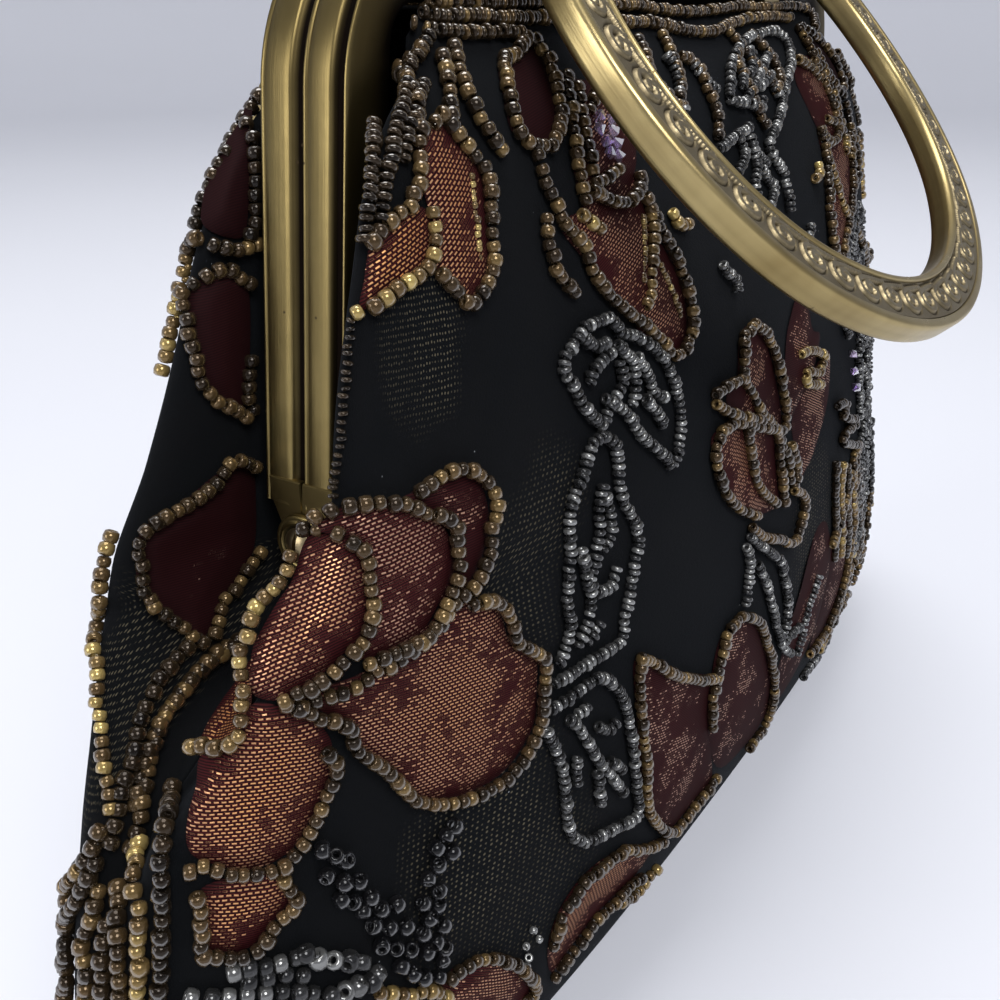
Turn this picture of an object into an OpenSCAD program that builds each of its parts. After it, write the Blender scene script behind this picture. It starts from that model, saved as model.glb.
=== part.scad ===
// Beaded evening bag with a hinged brass frame, a ball clasp and two folding ring handles.
// The length runs along X, the front faces -Y and the bag stands on Z = 0.

/* [Bag] */
// Length of the pouch at its widest
body_l = 272; // [220:1:320]
// Depth of the pouch, front to rear
body_depth = 77; // [60:1:95]
// Thickness of the outer fabric
fabric_t = 1.4; // [1:0.1:1.8]
// Thickness of the lining
lining_t = 0.8; // [0.5:0.1:1]
// Thickness of the stiff board in the base
board_t = 2; // [1.5:0.1:3]
// Gap between soft pieces that lie against each other
soft_gap = 0.3; // [0.2:0.05:0.5]

/* [Frame] */
// Width of the frame at the hinges
frame_w = 185; // [175:1:195]
// Height of the hinge axis above the table
hinge_h = 98; // [92:1:102]
// Height of the frame above the hinge axis
frame_rise = 80; // [77:1:83]
// Inward lean of the arms
arm_lean = 6; // [3:0.5:8]
// Outer radius of the frame's upper corners
corner_r = 24; // [18:1:28]
// Width of one half of the frame, front to rear
rail_w = 6.6; // [6:0.1:7.5]
// Gap between the two halves when shut
rail_gap = 0.4; // [0.3:0.1:0.8]
// Width of the arms' flanges
flange_w = 9; // [8:0.5:10]
// Width of the top rail's flange, down to the cloth
top_flange_w = 12; // [10:0.5:14]
// Thickness of the brass sheet
sheet_t = 1; // [0.8:0.1:1.2]
// Opening angle of each half
jaw_open = 30; // [20:1:35]

/* [Hinge] */
// Radius of the round knuckles
knuckle_r = 4.5; // [4:0.1:5]
// Radius of the hinge screw's shank
screw_r = 1.2; // [1:0.1:1.5]
// Radius of the screw's domed head
screw_head_r = 2.7; // [2.3:0.1:3.2]
// Height of the screw's domed head
screw_head_h = 1.3; // [1:0.1:1.6]
// Running gap around shanks and pins
run_gap = 0.05; // [0.03:0.01:0.08]

/* [Handles] */
// Overall width of a ring handle
ring_outer_w = 122; // [112:1:126]
// Length of a handle from its pivots
ring_l = 79; // [76:1:86]
// Outer radius of the ring's sides
ring_side_r = 49; // [47:0.5:51]
// Distance from the pivots down to the centre of the sides
ring_centre_drop = 26; // [24:0.5:28]
// Face width of the ring
ring_w = 9.7; // [8.5:0.1:11]
// Thickness of the ring, both shells together
ring_t = 5; // [4.4:0.1:6]
// Tilt of a handle at rest, away from hanging straight down
ring_tilt = 40.7; // [36:0.1:46]
// Distance of the pivots from the middle plane
pivot_y = 10.4; // [10.2:0.1:11]
// Radius of the pivot pins
pin_r = 1.1; // [0.9:0.1:1.3]
// Height of the scroll relief
scroll_h = 0.5; // [0.3:0.1:0.6]
// Distance from one scroll to the next
scroll_pitch = 6.7; // [6:0.1:8]

/* [Clasp] */
// Radius of the clasp's balls
ball_r = 5; // [4:0.1:6]
// Height of a ball's centre above the top rail
ball_rise = 7; // [6.5:0.1:8]

/* [Beads] */
// Diameter of a seed bead
bead_d = 2.3; // [1.8:0.1:2.6]

/* [Hidden] */

brass = "#9a8452";
dark_brass = "#5d4c2c";
velvet = "#141414";
satin = "#2b2430";
bead_brown = "#7a6248";
bead_dark = "#3a3a40";

half_l = body_l / 2;
half_depth = body_depth / 2;
half_frame = frame_w / 2;
frame_top = hinge_h + frame_rise;
body_h = frame_top - top_flange_w;
arm_foot = knuckle_r + sheet_t * 2;
overrun = 1;

// The pouch's sections, from the table up to the flange: the share of body_h, the share of
// half the length, the share of half the depth, and how square the section is.
profile_shares = [
    [0, 0.868, 0.623, 3],
    [0.048, 0.934, 0.753, 3],
    [0.108, 0.978, 0.87, 2.6],
    [0.199, 1, 0.974, 2.3],
    [0.319, 0.993, 1, 2],
    [0.47, 0.956, 0.961, 1.9],
    [0.59, 0.912, 0.884, 2.14],
    [0.669, 0.863, 0.829, 2.08],
    [0.759, 0.801, 0.751, 2.25],
    [0.861, 0.738, 0.589, 2.8],
    [0.922, 0.682, 0.467, 3.3],
    [0.964, 0.647, 0.325, 4],
    [1, 0.588, 0.164, 8]];

function row_below(rows, h, i = 0) =
    i >= len(rows) - 2 || h < rows[i + 1][0] ? i : row_below(rows, h, i + 1);
function slope_at(rows, i, c) =
    let (lo = max(i - 1, 0), hi = min(i + 1, len(rows) - 1))
    (rows[hi][c] - rows[lo][c]) / (rows[hi][0] - rows[lo][0]);
// A smooth curve through column c of a table whose first column rises.
function smooth_at(rows, h, c) =
    let (i = row_below(rows, h), span = rows[i + 1][0] - rows[i][0], u = (h - rows[i][0]) / span)
    (2 * u ^ 3 - 3 * u ^ 2 + 1) * rows[i][c] + (u ^ 3 - 2 * u ^ 2 + u) * span * slope_at(rows, i, c)
    + (3 * u ^ 2 - 2 * u ^ 3) * rows[i + 1][c] + (u ^ 3 - u ^ 2) * span * slope_at(rows, i + 1, c);

function clamp01(v) = min(max(v, 0), 1);
function half_l_at(z) = half_l * smooth_at(profile_shares, clamp01(z / body_h), 1);
function half_depth_at(z) = half_depth * smooth_at(profile_shares, clamp01(z / body_h), 2);
function squareness_at(z) = smooth_at(profile_shares, clamp01(z / body_h), 3);

// The inner edge of the arms' flanges at a height above the hinge axis.
flange_corner_drop = flange_w * 0.4;
function flange_x(z) =
    half_frame - flange_w - max(z - hinge_h, 0) * tan(arm_lean)
    - flange_corner_drop * clamp01((z - body_h) / flange_corner_drop + 1) ^ 2;

// The fabric is drawn in to the frame at the ends. This is the width of that notch either side
// of the middle plane, how fast it opens, and how far below the hinge it has run out.
notch_half = rail_gap / 2 + rail_w + soft_gap;
notch_spread = notch_half * 0.56;
notch_run_out = knuckle_r * 4.8;
function notch_flat(z) = z >= hinge_h - knuckle_r ? notch_half
    : notch_half * clamp01(1 - (hinge_h - knuckle_r - z) / notch_run_out);
function notch_depth(z) =
    z >= hinge_h ? 1 - (flange_x(z) - soft_gap * 1.3) / half_l_at(z)
    : (1 - (flange_x(hinge_h) - soft_gap * 1.3) / half_l_at(hinge_h)) * exp(-((hinge_h - z) / notch_run_out) ^ 2);
function draw_in(y, z) = 1 - notch_depth(z) * exp(-(max(abs(y) - notch_flat(z), 0) / notch_spread) ^ 2);

// The angle round the section at which the cloth is a given distance from the middle plane.
function angle_at(y, z, inset) =
    asin(clamp01((y / (half_depth_at(z) - inset)) ^ (squareness_at(z) / 2)));
// A point of the front cloth: s runs from 0 at the left end to 1 at the right end.
function edge_y(z) = z >= hinge_h ? min(notch_half, half_depth_at(z) * 0.86) : soft_gap / 2;
function cloth_at(s, z, inset) =
    let (n = squareness_at(z), start = angle_at(edge_y(z), z, inset),
        t = start + (180 - 2 * start) * (s - sin(360 * s) * 0.09),
        x = (half_l_at(z) - inset) * abs(cos(t)) ^ (2 / n),
        y = (half_depth_at(z) - inset) * sin(t) ^ (2 / n))
    [-sign(cos(t)) * x * draw_in(max(y - inset, 0), z), -y, z];

// The height at which the cloth leaves the jaw: a plane through the hinge axis, tilted by the
// opening angle, so that an open jaw's cloth comes down to the top of the lower panel.
function split_z(s, inset, z, turns = 4) =
    turns == 0 ? z : split_z(s, inset, hinge_h + tan(jaw_open) * -cloth_at(s, z, inset)[1], turns - 1);

// A sheet between two grids of points of one size, the first on its outer side.
module sheet(outer, inner) {
    rows = len(outer);
    cols = len(outer[0]);
    count = rows * cols;
    points = concat([for (row = outer) each row], [for (row = inner) each row]);
    quads = [for (i = [0 : rows - 2], j = [0 : cols - 2])
        [i * cols + j, i * cols + j + 1, (i + 1) * cols + j + 1, (i + 1) * cols + j]];
    front = [for (q = quads) each [[q[2], q[1], q[0]], [q[3], q[2], q[0]]]];
    back = [for (f = front) [f[2] + count, f[1] + count, f[0] + count]];
    low = [for (j = [0 : cols - 2]) [j, j + 1]];
    high = [for (j = [0 : cols - 2]) [count - cols + j + 1, count - cols + j]];
    left = [for (i = [0 : rows - 2]) [(i + 1) * cols, i * cols]];
    right = [for (i = [0 : rows - 2]) [(i + 1) * cols - 1, (i + 2) * cols - 1]];
    rim = [for (e = concat(low, high, left, right))
        each [[e[0], e[1], e[1] + count], [e[0], e[1] + count, e[0] + count]]];
    polyhedron(points, concat(front, back, rim));
}

panel_steps = 26;
upper_rows = 6;
// Heights of the rows below the hinge line, as shares of its height. They lie closer at the notch.
row_shares = [0, 0.05, 0.12, 0.22, 0.38, 0.56, 0.7, 0.8, 0.87, 0.93, 0.97, 1];
row_heights = [for (share = row_shares) (hinge_h - soft_gap) * share];

function upper_grid(inset, top) = [for (i = [0 : upper_rows]) [for (j = [0 : panel_steps])
    let (s = j / panel_steps, foot = split_z(s, inset, hinge_h) + soft_gap,
        z = foot + (top - foot) * i / upper_rows)
    cloth_at(s, z, inset)]];
function fold_grid(inset) = [for (i = [0 : 2]) [for (j = [0 : panel_steps])
    let (s = j / panel_steps, head = split_z(s, inset, hinge_h), z = hinge_h + (head - hinge_h) * i / 2)
    cloth_at(s, z, inset)]];
function lower_grid(inset) = [for (z = row_heights) [for (j = [0 : panel_steps])
    cloth_at(j / panel_steps, z, inset)]];

module upper_panel() {
    top = body_h - soft_gap;
    sheet(upper_grid(0, top), upper_grid(fabric_t, top));
}
module fold_strip() sheet(fold_grid(0), fold_grid(fabric_t));
module lower_panel() sheet(lower_grid(0), lower_grid(fabric_t));

lining_inset = fabric_t + soft_gap * 2;
module upper_lining() {
    top = body_h - soft_gap * 2;
    sheet(upper_grid(lining_inset, top), upper_grid(lining_inset + lining_t, top));
}

// The base: the bottom section's outline, drawn in by an inset.
base_steps = 64;
function base_outline(z, inset) = [for (i = [0 : base_steps - 1])
    let (t = 360 * i / base_steps, n = squareness_at(z))
    [sign(cos(t)) * (half_l_at(z) - inset) * abs(cos(t)) ^ (2 / n),
        sign(sin(t)) * (half_depth_at(z) - inset) * abs(sin(t)) ^ (2 / n)]];
module base_sheet() linear_extrude(fabric_t) polygon(base_outline(0, fabric_t + soft_gap));
module board_sheet() translate([0, 0, fabric_t]) linear_extrude(board_t)
    polygon(base_outline(0, fabric_t + soft_gap));

// The lining's lower part is one cup, closed at the base and open at the hinge line. Its rows lie
// behind the panels' rows.
lining_floor = fabric_t + board_t + soft_gap;
function lining_ring(z, inset) = concat(
    [for (j = [0 : panel_steps]) cloth_at(j / panel_steps, z, inset)],
    [for (j = [0 : panel_steps]) let (p = cloth_at(j / panel_steps, z, inset)) [-p[0], -p[1], z]]);
module lining_cup() {
    heights = concat([lining_floor], [for (z = row_heights) if (z > lining_floor + lining_t * 2) z]);
    outer = [for (z = heights) lining_ring(z, lining_inset)];
    inner = [for (z = heights) [for (p = lining_ring(z, lining_inset + lining_t))
        [p[0], p[1], max(p[2], lining_floor + lining_t)]]];
    cols = len(outer[0]);
    count = cols * len(heights);
    points = concat([for (r = outer) each r], [for (r = inner) each r],
        [[0, 0, lining_floor], [0, 0, lining_floor + lining_t]]);
    walls = [for (i = [0 : len(heights) - 2], j = [0 : cols - 1])
        let (k = (j + 1) % cols, a = i * cols + j, b = i * cols + k, c = a + cols, d = b + cols)
        each [[d, b, a], [c, d, a]]];
    inside = [for (f = walls) [f[2] + count, f[1] + count, f[0] + count]];
    floors = [for (j = [0 : cols - 1]) let (k = (j + 1) % cols)
        each [[j, k, count * 2], [k + count, j + count, count * 2 + 1]]];
    lip = [for (j = [0 : cols - 1]) let (k = (j + 1) % cols, a = count - cols + j, b = count - cols + k)
        each [[a + count, b, a], [b + count, b, a + count]]];
    polyhedron(points, concat(walls, inside, floors, lip));
}

// The outline of one half of the frame, filled in: its arms drawn in by inset, its top by
// top_inset, with rounded corners and straight feet at a height above the hinge axis.
corner_steps = 14;
function rail_outline(inset, top_inset, r, foot) =
    let (high = frame_rise - top_inset, cz = high - r,
        cx = half_frame - (inset + r) / cos(arm_lean) - cz * tan(arm_lean),
        foot_x = half_frame - inset / cos(arm_lean) - foot * tan(arm_lean),
        right = concat([[foot_x, foot]], [for (i = [0 : corner_steps])
            let (a = arm_lean + (90 - arm_lean) * i / corner_steps) [cx + r * cos(a), cz + r * sin(a)]]))
    concat(right, [for (i = [len(right) - 1 : -1 : 0]) [-right[i][0], right[i][1]]]);

// Stands a flat outline up in the frame's plane, in front of the middle, a distance out.
module stand_up(out, thick) translate([0, -out, hinge_h]) rotate([90, 0, 0]) linear_extrude(thick) children();

// One half of the frame is a bent channel, open towards the bag: an outer wall and two flanges
// that are deeper under the top rail, with tight inner corners.
inner_corner_r = flange_w * 0.6;
module front_half_rail() difference() {
    stand_up(rail_gap / 2, rail_w) difference() {
        polygon(rail_outline(0, 0, corner_r, arm_foot));
        polygon(rail_outline(flange_w, top_flange_w, inner_corner_r, arm_foot - overrun));
    }
    stand_up(rail_gap / 2 + sheet_t, rail_w - sheet_t * 2)
        polygon(rail_outline(sheet_t, sheet_t, corner_r - sheet_t, arm_foot - overrun));
}

// The knuckles: the front arms end in tongues that lie behind the rear arms' outer discs.
tongue_x = half_frame - sheet_t * 1.65;
disc_x = tongue_x + sheet_t + run_gap * 2;
module knuckle(back, thick) difference() {
    union() {
        translate([back, 0, hinge_h]) rotate([0, 90, 0]) cylinder(r = knuckle_r, h = thick, $fn = 64);
        translate([back, 0, hinge_h]) rotate([90, 0, 90]) linear_extrude(thick)
            polygon([[-knuckle_r * 0.8, knuckle_r * 0.3], [rail_gap / 2, knuckle_r * 0.9],
                [rail_gap / 2, arm_foot + sheet_t * 2], [rail_gap / 2 + rail_w * 0.86, arm_foot + sheet_t * 2],
                [rail_gap / 2 + rail_w * 0.8, arm_foot], [knuckle_r * 0.92, knuckle_r * 0.1]]);
    }
    translate([back - overrun, 0, hinge_h]) rotate([0, 90, 0])
        cylinder(r = screw_r + run_gap, h = thick + overrun * 2, $fn = 48);
}
// The step that carries a rear disc out past the tongue.
module joggle() translate([tongue_x - sheet_t * 0.2, 0, hinge_h]) rotate([90, 0, 90])
    linear_extrude(sheet_t * 1.5) polygon([[rail_gap / 2, knuckle_r + soft_gap],
        [rail_gap / 2 + rail_w * 0.7, knuckle_r + soft_gap], [rail_gap / 2 + rail_w * 0.8, arm_foot + sheet_t * 2],
        [rail_gap / 2, arm_foot + sheet_t * 2]]);

module front_frame_rail() color(brass) {
    front_half_rail();
    for (side = [0, 1]) mirror([side, 0, 0]) mirror([0, 1, 0]) knuckle(tongue_x, sheet_t);
}
module rear_frame_rail() color(brass) {
    mirror([0, 1, 0]) front_half_rail();
    for (side = [0, 1]) mirror([side, 0, 0]) {
        knuckle(disc_x, sheet_t);
        joggle();
    }
}

// The hinge screw: a slotted dome outside the disc, and a shank through both knuckles.
screw_seat = disc_x + sheet_t + run_gap;
nut_h = sheet_t * 1.2;
nut_face = tongue_x - run_gap;
module hinge_screw() translate([0, 0, hinge_h]) {
    dome_r = (screw_head_r ^ 2 + screw_head_h ^ 2) / (2 * screw_head_h);
    slot_w = screw_head_r * 0.22;
    difference() {
        translate([screw_seat, 0, 0]) rotate([0, 90, 0]) rotate_extrude($fn = 64) intersection() {
            translate([0, screw_head_h - dome_r]) circle(r = dome_r, $fn = 64);
            square([screw_head_r, screw_head_h]);
        }
        translate([screw_seat + screw_head_h * 0.45, -slot_w / 2, -screw_head_r - overrun])
            cube([screw_head_h, slot_w, (screw_head_r + overrun) * 2]);
    }
    translate([nut_face - nut_h, 0, 0]) rotate([0, 90, 0])
        cylinder(r = screw_r, h = screw_seat - nut_face + nut_h, $fn = 48);
}
module hinge_nut() translate([nut_face - nut_h, 0, hinge_h]) rotate([0, 90, 0]) difference() {
    cylinder(r = screw_head_r, h = nut_h, $fn = 6);
    translate([0, 0, -overrun]) cylinder(r = screw_r, h = nut_h + overrun * 2, $fn = 48);
}
module left_hinge_screw() color(dark_brass) mirror([1, 0, 0]) hinge_screw();
module right_hinge_screw() color(dark_brass) hinge_screw();
module left_hinge_nut() color(dark_brass) mirror([1, 0, 0]) hinge_nut();
module right_hinge_nut() color(dark_brass) hinge_nut();

// The paper cord that jams the cloth into the channel.
cord_gap = soft_gap / 2;
module channel_cord() stand_up(rail_gap / 2 + sheet_t + cord_gap, rail_w - (sheet_t + cord_gap) * 2) difference() {
    polygon(rail_outline(sheet_t + cord_gap, sheet_t + cord_gap, corner_r - sheet_t - cord_gap, arm_foot + sheet_t * 2));
    polygon(rail_outline(flange_w - sheet_t, flange_w - sheet_t, corner_r - flange_w + sheet_t, arm_foot));
}
module front_channel_cord() color("#b9a888") channel_cord();
module rear_channel_cord() color("#b9a888") mirror([0, 1, 0]) channel_cord();

// One ball of the clasp on its turned foot. The balls stand side by side and pass each other.
module clasp_ball() {
    foot_r = rail_w * 0.45;
    neck_r = ball_r * 0.36;
    translate([ball_r + soft_gap / 2, -(rail_gap + rail_w) / 2, frame_top]) {
        cylinder(r = foot_r, h = sheet_t * 0.8, $fn = 48);
        cylinder(r1 = foot_r * 0.8, r2 = neck_r, h = ball_rise - ball_r * 0.8, $fn = 48);
        translate([0, 0, ball_rise]) sphere(r = ball_r, $fn = 64);
    }
}
module front_clasp_ball() color(brass) clasp_ball();
module rear_clasp_ball() color(brass) rotate([0, 0, 180]) clasp_ball();

// The ring handle is drawn flat: X along the bag, Y up from the pivots and Z out of its face.
eye_r = ring_t / 2;
eye_w = ring_w * 0.52;
ear_gap = soft_gap;
neck_drop = eye_r + ear_gap;
ring_side_x = ring_outer_w / 2 - ring_side_r;
ring_low_r = (ring_side_x ^ 2 + (ring_l - ring_centre_drop) ^ 2 - ring_side_r ^ 2)
    / (2 * (ring_l - ring_centre_drop - ring_side_r));
ring_low_y = ring_low_r - ring_l;
ring_joint = atan2(ring_side_x, ring_low_y + ring_centre_drop);
ring_end = asin((ring_centre_drop - neck_drop + ear_gap) / (ring_side_r - ring_w));
eye_x = ring_side_x + (ring_side_r - ring_w / 2) * cos(asin(ring_centre_drop / (ring_side_r - ring_w / 2)));

// Sections of the two shells: shares of the face width in from the outer edge, and of half the
// thickness. The face has a sunk field for the scrolls between a smooth band and a round rim.
face_section_shares = [[0, 0], [0, 0.6], [0.03, 0.85], [0.09, 0.97], [0.17, 1], [0.2, 0.78],
    [0.84, 0.78], [0.87, 0.97], [0.91, 1.04], [0.96, 0.97], [1, 0.72], [1, 0]];
back_section_shares = [[0, 0], [1, 0], [1, -0.6], [0.96, -0.82], [0.85, -0.95], [0.5, -1],
    [0.15, -0.95], [0.04, -0.82], [0, -0.6]];
field_share = 0.52;
field_height_share = 0.78;
back_height_share = 0.95;
module shell_section(shares)
    polygon([for (p = shares) [-p[0] * ring_w, p[1] * ring_t / 2]]);

module ring_sweep(shares) {
    translate([0, ring_low_y, 0]) rotate([0, 0, -90 - ring_joint])
        rotate_extrude(angle = ring_joint * 2, $fn = 180) translate([ring_low_r, 0]) shell_section(shares);
    for (side = [0, 1]) mirror([side, 0, 0])
        translate([ring_side_x, -ring_centre_drop, 0]) rotate([0, 0, ring_joint - 90])
        rotate_extrude(angle = 90 - ring_joint + ring_end, $fn = 180)
        translate([ring_side_r, 0]) shell_section(shares);
}
// Each shell carries its half of the rolled eye round the pin, on a narrow neck. The ring's full
// width stops short of the ears.
module eye_half(sign_z, neck_share) for (side = [-1, 1]) translate([side * eye_x, 0, 0]) {
    intersection() {
        translate([-eye_w / 2, 0, 0]) rotate([0, 90, 0]) cylinder(r = eye_r, h = eye_w, $fn = 48);
        translate([-ring_w, -ring_w, sign_z > 0 ? 0 : -ring_w]) cube([ring_w * 2, ring_w * 2, ring_w]);
    }
    neck_t = ring_t / 2 * neck_share;
    translate([-eye_w / 2, -neck_drop - sheet_t, sign_z > 0 ? 0 : -neck_t])
        cube([eye_w, neck_drop + sheet_t, neck_t]);
}
module eye_bore() {
    for (side = [-1, 1]) translate([side * eye_x - ring_w, 0, 0]) rotate([0, 90, 0])
        cylinder(r = pin_r + run_gap, h = ring_w * 2, $fn = 48);
}
module ring_shell(shares, sign_z, neck_share) difference() {
    union() {
        difference() {
            ring_sweep(shares);
            translate([-ring_outer_w / 2, -neck_drop, -ring_t]) cube([ring_outer_w, neck_drop + ring_w, ring_t * 2]);
        }
        eye_half(sign_z, neck_share);
    }
    eye_bore();
}

// Places a handle: hung from its pivots and tilted out from the front of the bag.
module hung() translate([0, -pivot_y, frame_top - pin_r]) rotate([-ring_tilt, 0, 0]) rotate([90, 0, 0])
    children();
module front_handle_face() color(brass) hung() ring_shell(face_section_shares, 1, field_height_share);
module rear_handle_face() color(brass) rotate([0, 0, 180]) hung() ring_shell(face_section_shares, 1, field_height_share);
module front_handle_back() color(brass) hung() ring_shell(back_section_shares, -1, back_height_share);
module rear_handle_back() color(brass) rotate([0, 0, 180]) hung() ring_shell(back_section_shares, -1, back_height_share);

// One running scroll: a flat spiral band that grows from its eye and ends in a tail.
scroll_turn = 1.35;
scroll_steps = 16;
scroll_reach = ring_w * 0.27;
scroll_band = ring_w * 0.062;
function scroll_r(u) = scroll_band + (scroll_reach - scroll_band) * u ^ 0.9;
function scroll_side(offset) = [for (i = [0 : scroll_steps])
    let (u = i / scroll_steps, a = 360 * scroll_turn * u, r = scroll_r(u) + offset * (1 - 0.55 * u ^ 4))
    [r * cos(a), r * sin(a)]];
module scroll_shape() polygon(concat(scroll_side(scroll_band / 2),
    [for (i = [scroll_steps : -1 : 0]) scroll_side(-scroll_band / 2)[i]]));

// A place along the middle of the ring's field, from the left pivot to the right one.
field_in = ring_w * field_share;
side_run = (ring_side_r - field_in) * (90 - ring_joint + ring_end) * PI / 180;
low_run = (ring_low_r - field_in) * ring_joint * 2 * PI / 180;
field_run = side_run * 2 + low_run;
module on_field(run) {
    if (run < side_run) {
        a = 180 - ring_end + run / side_run * (90 - ring_joint + ring_end);
        translate([-ring_side_x, -ring_centre_drop]) rotate(a) translate([ring_side_r - field_in, 0]) children();
    } else if (run < side_run + low_run) {
        a = 270 - ring_joint + (run - side_run) / low_run * ring_joint * 2;
        translate([0, ring_low_y]) rotate(a) translate([ring_low_r - field_in, 0]) children();
    } else {
        a = 270 + ring_joint + (run - side_run - low_run) / side_run * (90 - ring_joint + ring_end);
        translate([ring_side_x, -ring_centre_drop]) rotate(a) translate([ring_side_r - field_in, 0]) children();
    }
}
module scroll_band_relief() {
    end_clear = (neck_drop + scroll_reach) * 1.3;
    count = floor((field_run - end_clear * 2) / scroll_pitch);
    first = (field_run - count * scroll_pitch) / 2;
    floor_z = ring_t / 2 * field_height_share;
    for (i = [0 : count]) translate([0, 0, floor_z]) linear_extrude(scroll_h)
        on_field(first + i * scroll_pitch) rotate(110) scroll_shape();
}
module front_handle_scrolls() color(dark_brass) hung() scroll_band_relief();
module rear_handle_scrolls() color(dark_brass) rotate([0, 0, 180]) hung() scroll_band_relief();

// Two lugs a side: a plate on the top rail's flange with an ear each side of the eye.
ear_t = sheet_t * 1.2;
lug_half = eye_w / 2 + ear_gap + ear_t;
lug_back = rail_gap / 2 + rail_w;
module handle_lugs() for (side = [-1, 1]) translate([side * eye_x, 0, 0]) {
    translate([-lug_half, -lug_back - sheet_t * 0.8, body_h + soft_gap])
        cube([lug_half * 2, sheet_t * 0.8, top_flange_w - soft_gap]);
    for (ear = [-1, 1]) translate([ear * (lug_half - ear_t / 2) - ear_t / 2, 0, 0]) difference() {
        union() {
            translate([0, -pivot_y, frame_top - pin_r]) rotate([0, 90, 0]) cylinder(r = eye_r, h = ear_t, $fn = 48);
            translate([0, -pivot_y, frame_top - pin_r - eye_r]) cube([ear_t, pivot_y - lug_back, eye_r * 2]);
        }
        translate([-overrun, -pivot_y, frame_top - pin_r]) rotate([0, 90, 0])
            cylinder(r = pin_r, h = ear_t + overrun * 2, $fn = 48);
    }
}
// The pins are tight in the ears and headed outside them.
module handle_pins() for (side = [-1, 1]) translate([side * eye_x, -pivot_y, frame_top - pin_r])
    rotate([0, 90, 0]) {
        translate([0, 0, -lug_half]) cylinder(r = pin_r, h = lug_half * 2, $fn = 48);
        for (end = [0, 1]) mirror([0, 0, end]) translate([0, 0, lug_half])
            cylinder(r1 = pin_r * 1.8, r2 = pin_r * 1.3, h = sheet_t * 0.6, $fn = 48);
    }
module front_handle_lugs() color(brass) handle_lugs();
module rear_handle_lugs() color(brass) rotate([0, 0, 180]) handle_lugs();
module front_handle_pins() color(dark_brass) handle_pins();
module rear_handle_pins() color(dark_brass) rotate([0, 0, 180]) handle_pins();

module front_upper_panel() color(velvet) upper_panel();
module rear_upper_panel() color(velvet) rotate([0, 0, 180]) upper_panel();
module front_fold_strip() color(velvet) fold_strip();
module rear_fold_strip() color(velvet) rotate([0, 0, 180]) fold_strip();
module front_lower_panel() color(velvet) lower_panel();
module rear_lower_panel() color(velvet) rotate([0, 0, 180]) lower_panel();
module base_panel() color(velvet) base_sheet();
module base_board() color("#8a7a62") board_sheet();
module lower_lining() color(satin) lining_cup();
module front_upper_lining() color(satin) upper_lining();
module rear_upper_lining() color(satin) rotate([0, 0, 180]) upper_lining();

// A strand of beads is drawn as a slim tube with a low bulge for each few beads. It lies on the
// cloth, clear by a soft gap. Its places are given across the panel and up it.
bead_r = bead_d / 2;
strand_sides = 4;
bead_lift = bead_r * cos(180 / strand_sides) + soft_gap * 1.6;
function cloth_normal(s, z) =
    let (ds = 0.004, dz = body_h * 0.006, a = cloth_at(s + ds, z, 0) - cloth_at(s - ds, z, 0),
        b = cloth_at(s, min(z + dz, body_h), 0) - cloth_at(s, z - dz, 0), n = cross(a, b))
    n / norm(n);
function on_cloth(p, lift) = cloth_at(p[0], p[1], 0) + cloth_normal(p[0], p[1]) * lift;

function unit(v) = v / norm(v);
// The tube along a strand: each ring stands square to the strand, its flat side to the cloth.
function strand_rings(path, normals, closed) =
    let (last = len(path) - 1)
    [for (i = [0 : last])
        let (before = path[i == 0 ? (closed ? last : 0) : i - 1],
            after = path[i == last ? (closed ? 0 : last) : i + 1],
            along = unit(after - before), up = unit(normals[i] - along * (normals[i] * along)),
            side = cross(along, up))
        [for (k = [0 : strand_sides - 1])
            let (a = 360 * (k + 0.5) / strand_sides)
            path[i] + bead_r * (cos(a) * side + sin(a) * up)]];
module strand(places, closed = false) {
    path = [for (p = places) on_cloth(p, bead_lift)];
    normals = [for (p = places) cloth_normal(p[0], p[1])];
    rings = strand_rings(path, normals, closed);
    count = len(rings);
    points = [for (r = rings) each r];
    spans = closed ? count : count - 1;
    walls = [for (i = [0 : spans - 1], k = [0 : strand_sides - 1])
        let (a = i * strand_sides + k, b = i * strand_sides + (k + 1) % strand_sides,
            next = ((i + 1) % count) * strand_sides, c = next + k, d = next + (k + 1) % strand_sides)
        each [[a, b, d], [a, d, c]]];
    first = [for (k = [strand_sides - 1 : -1 : 0]) k];
    last = [for (k = [0 : strand_sides - 1]) (count - 1) * strand_sides + k];
    polyhedron(points, closed ? walls : concat(walls, [first, last]));
}

// Motifs are drawn as strands through places on the panel: shares across it, from its left end, and
// up its height. Rings are petals and leaves, and lines are veins, stems and rows of beads.
function places(shares, flip) = [for (p = shares) [flip ? 1 - p[0] : p[0], p[1] * body_h]];
module strands(table, flip = false, closed = false)
    for (shares = table) strand(places(shares, flip), closed);

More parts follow.
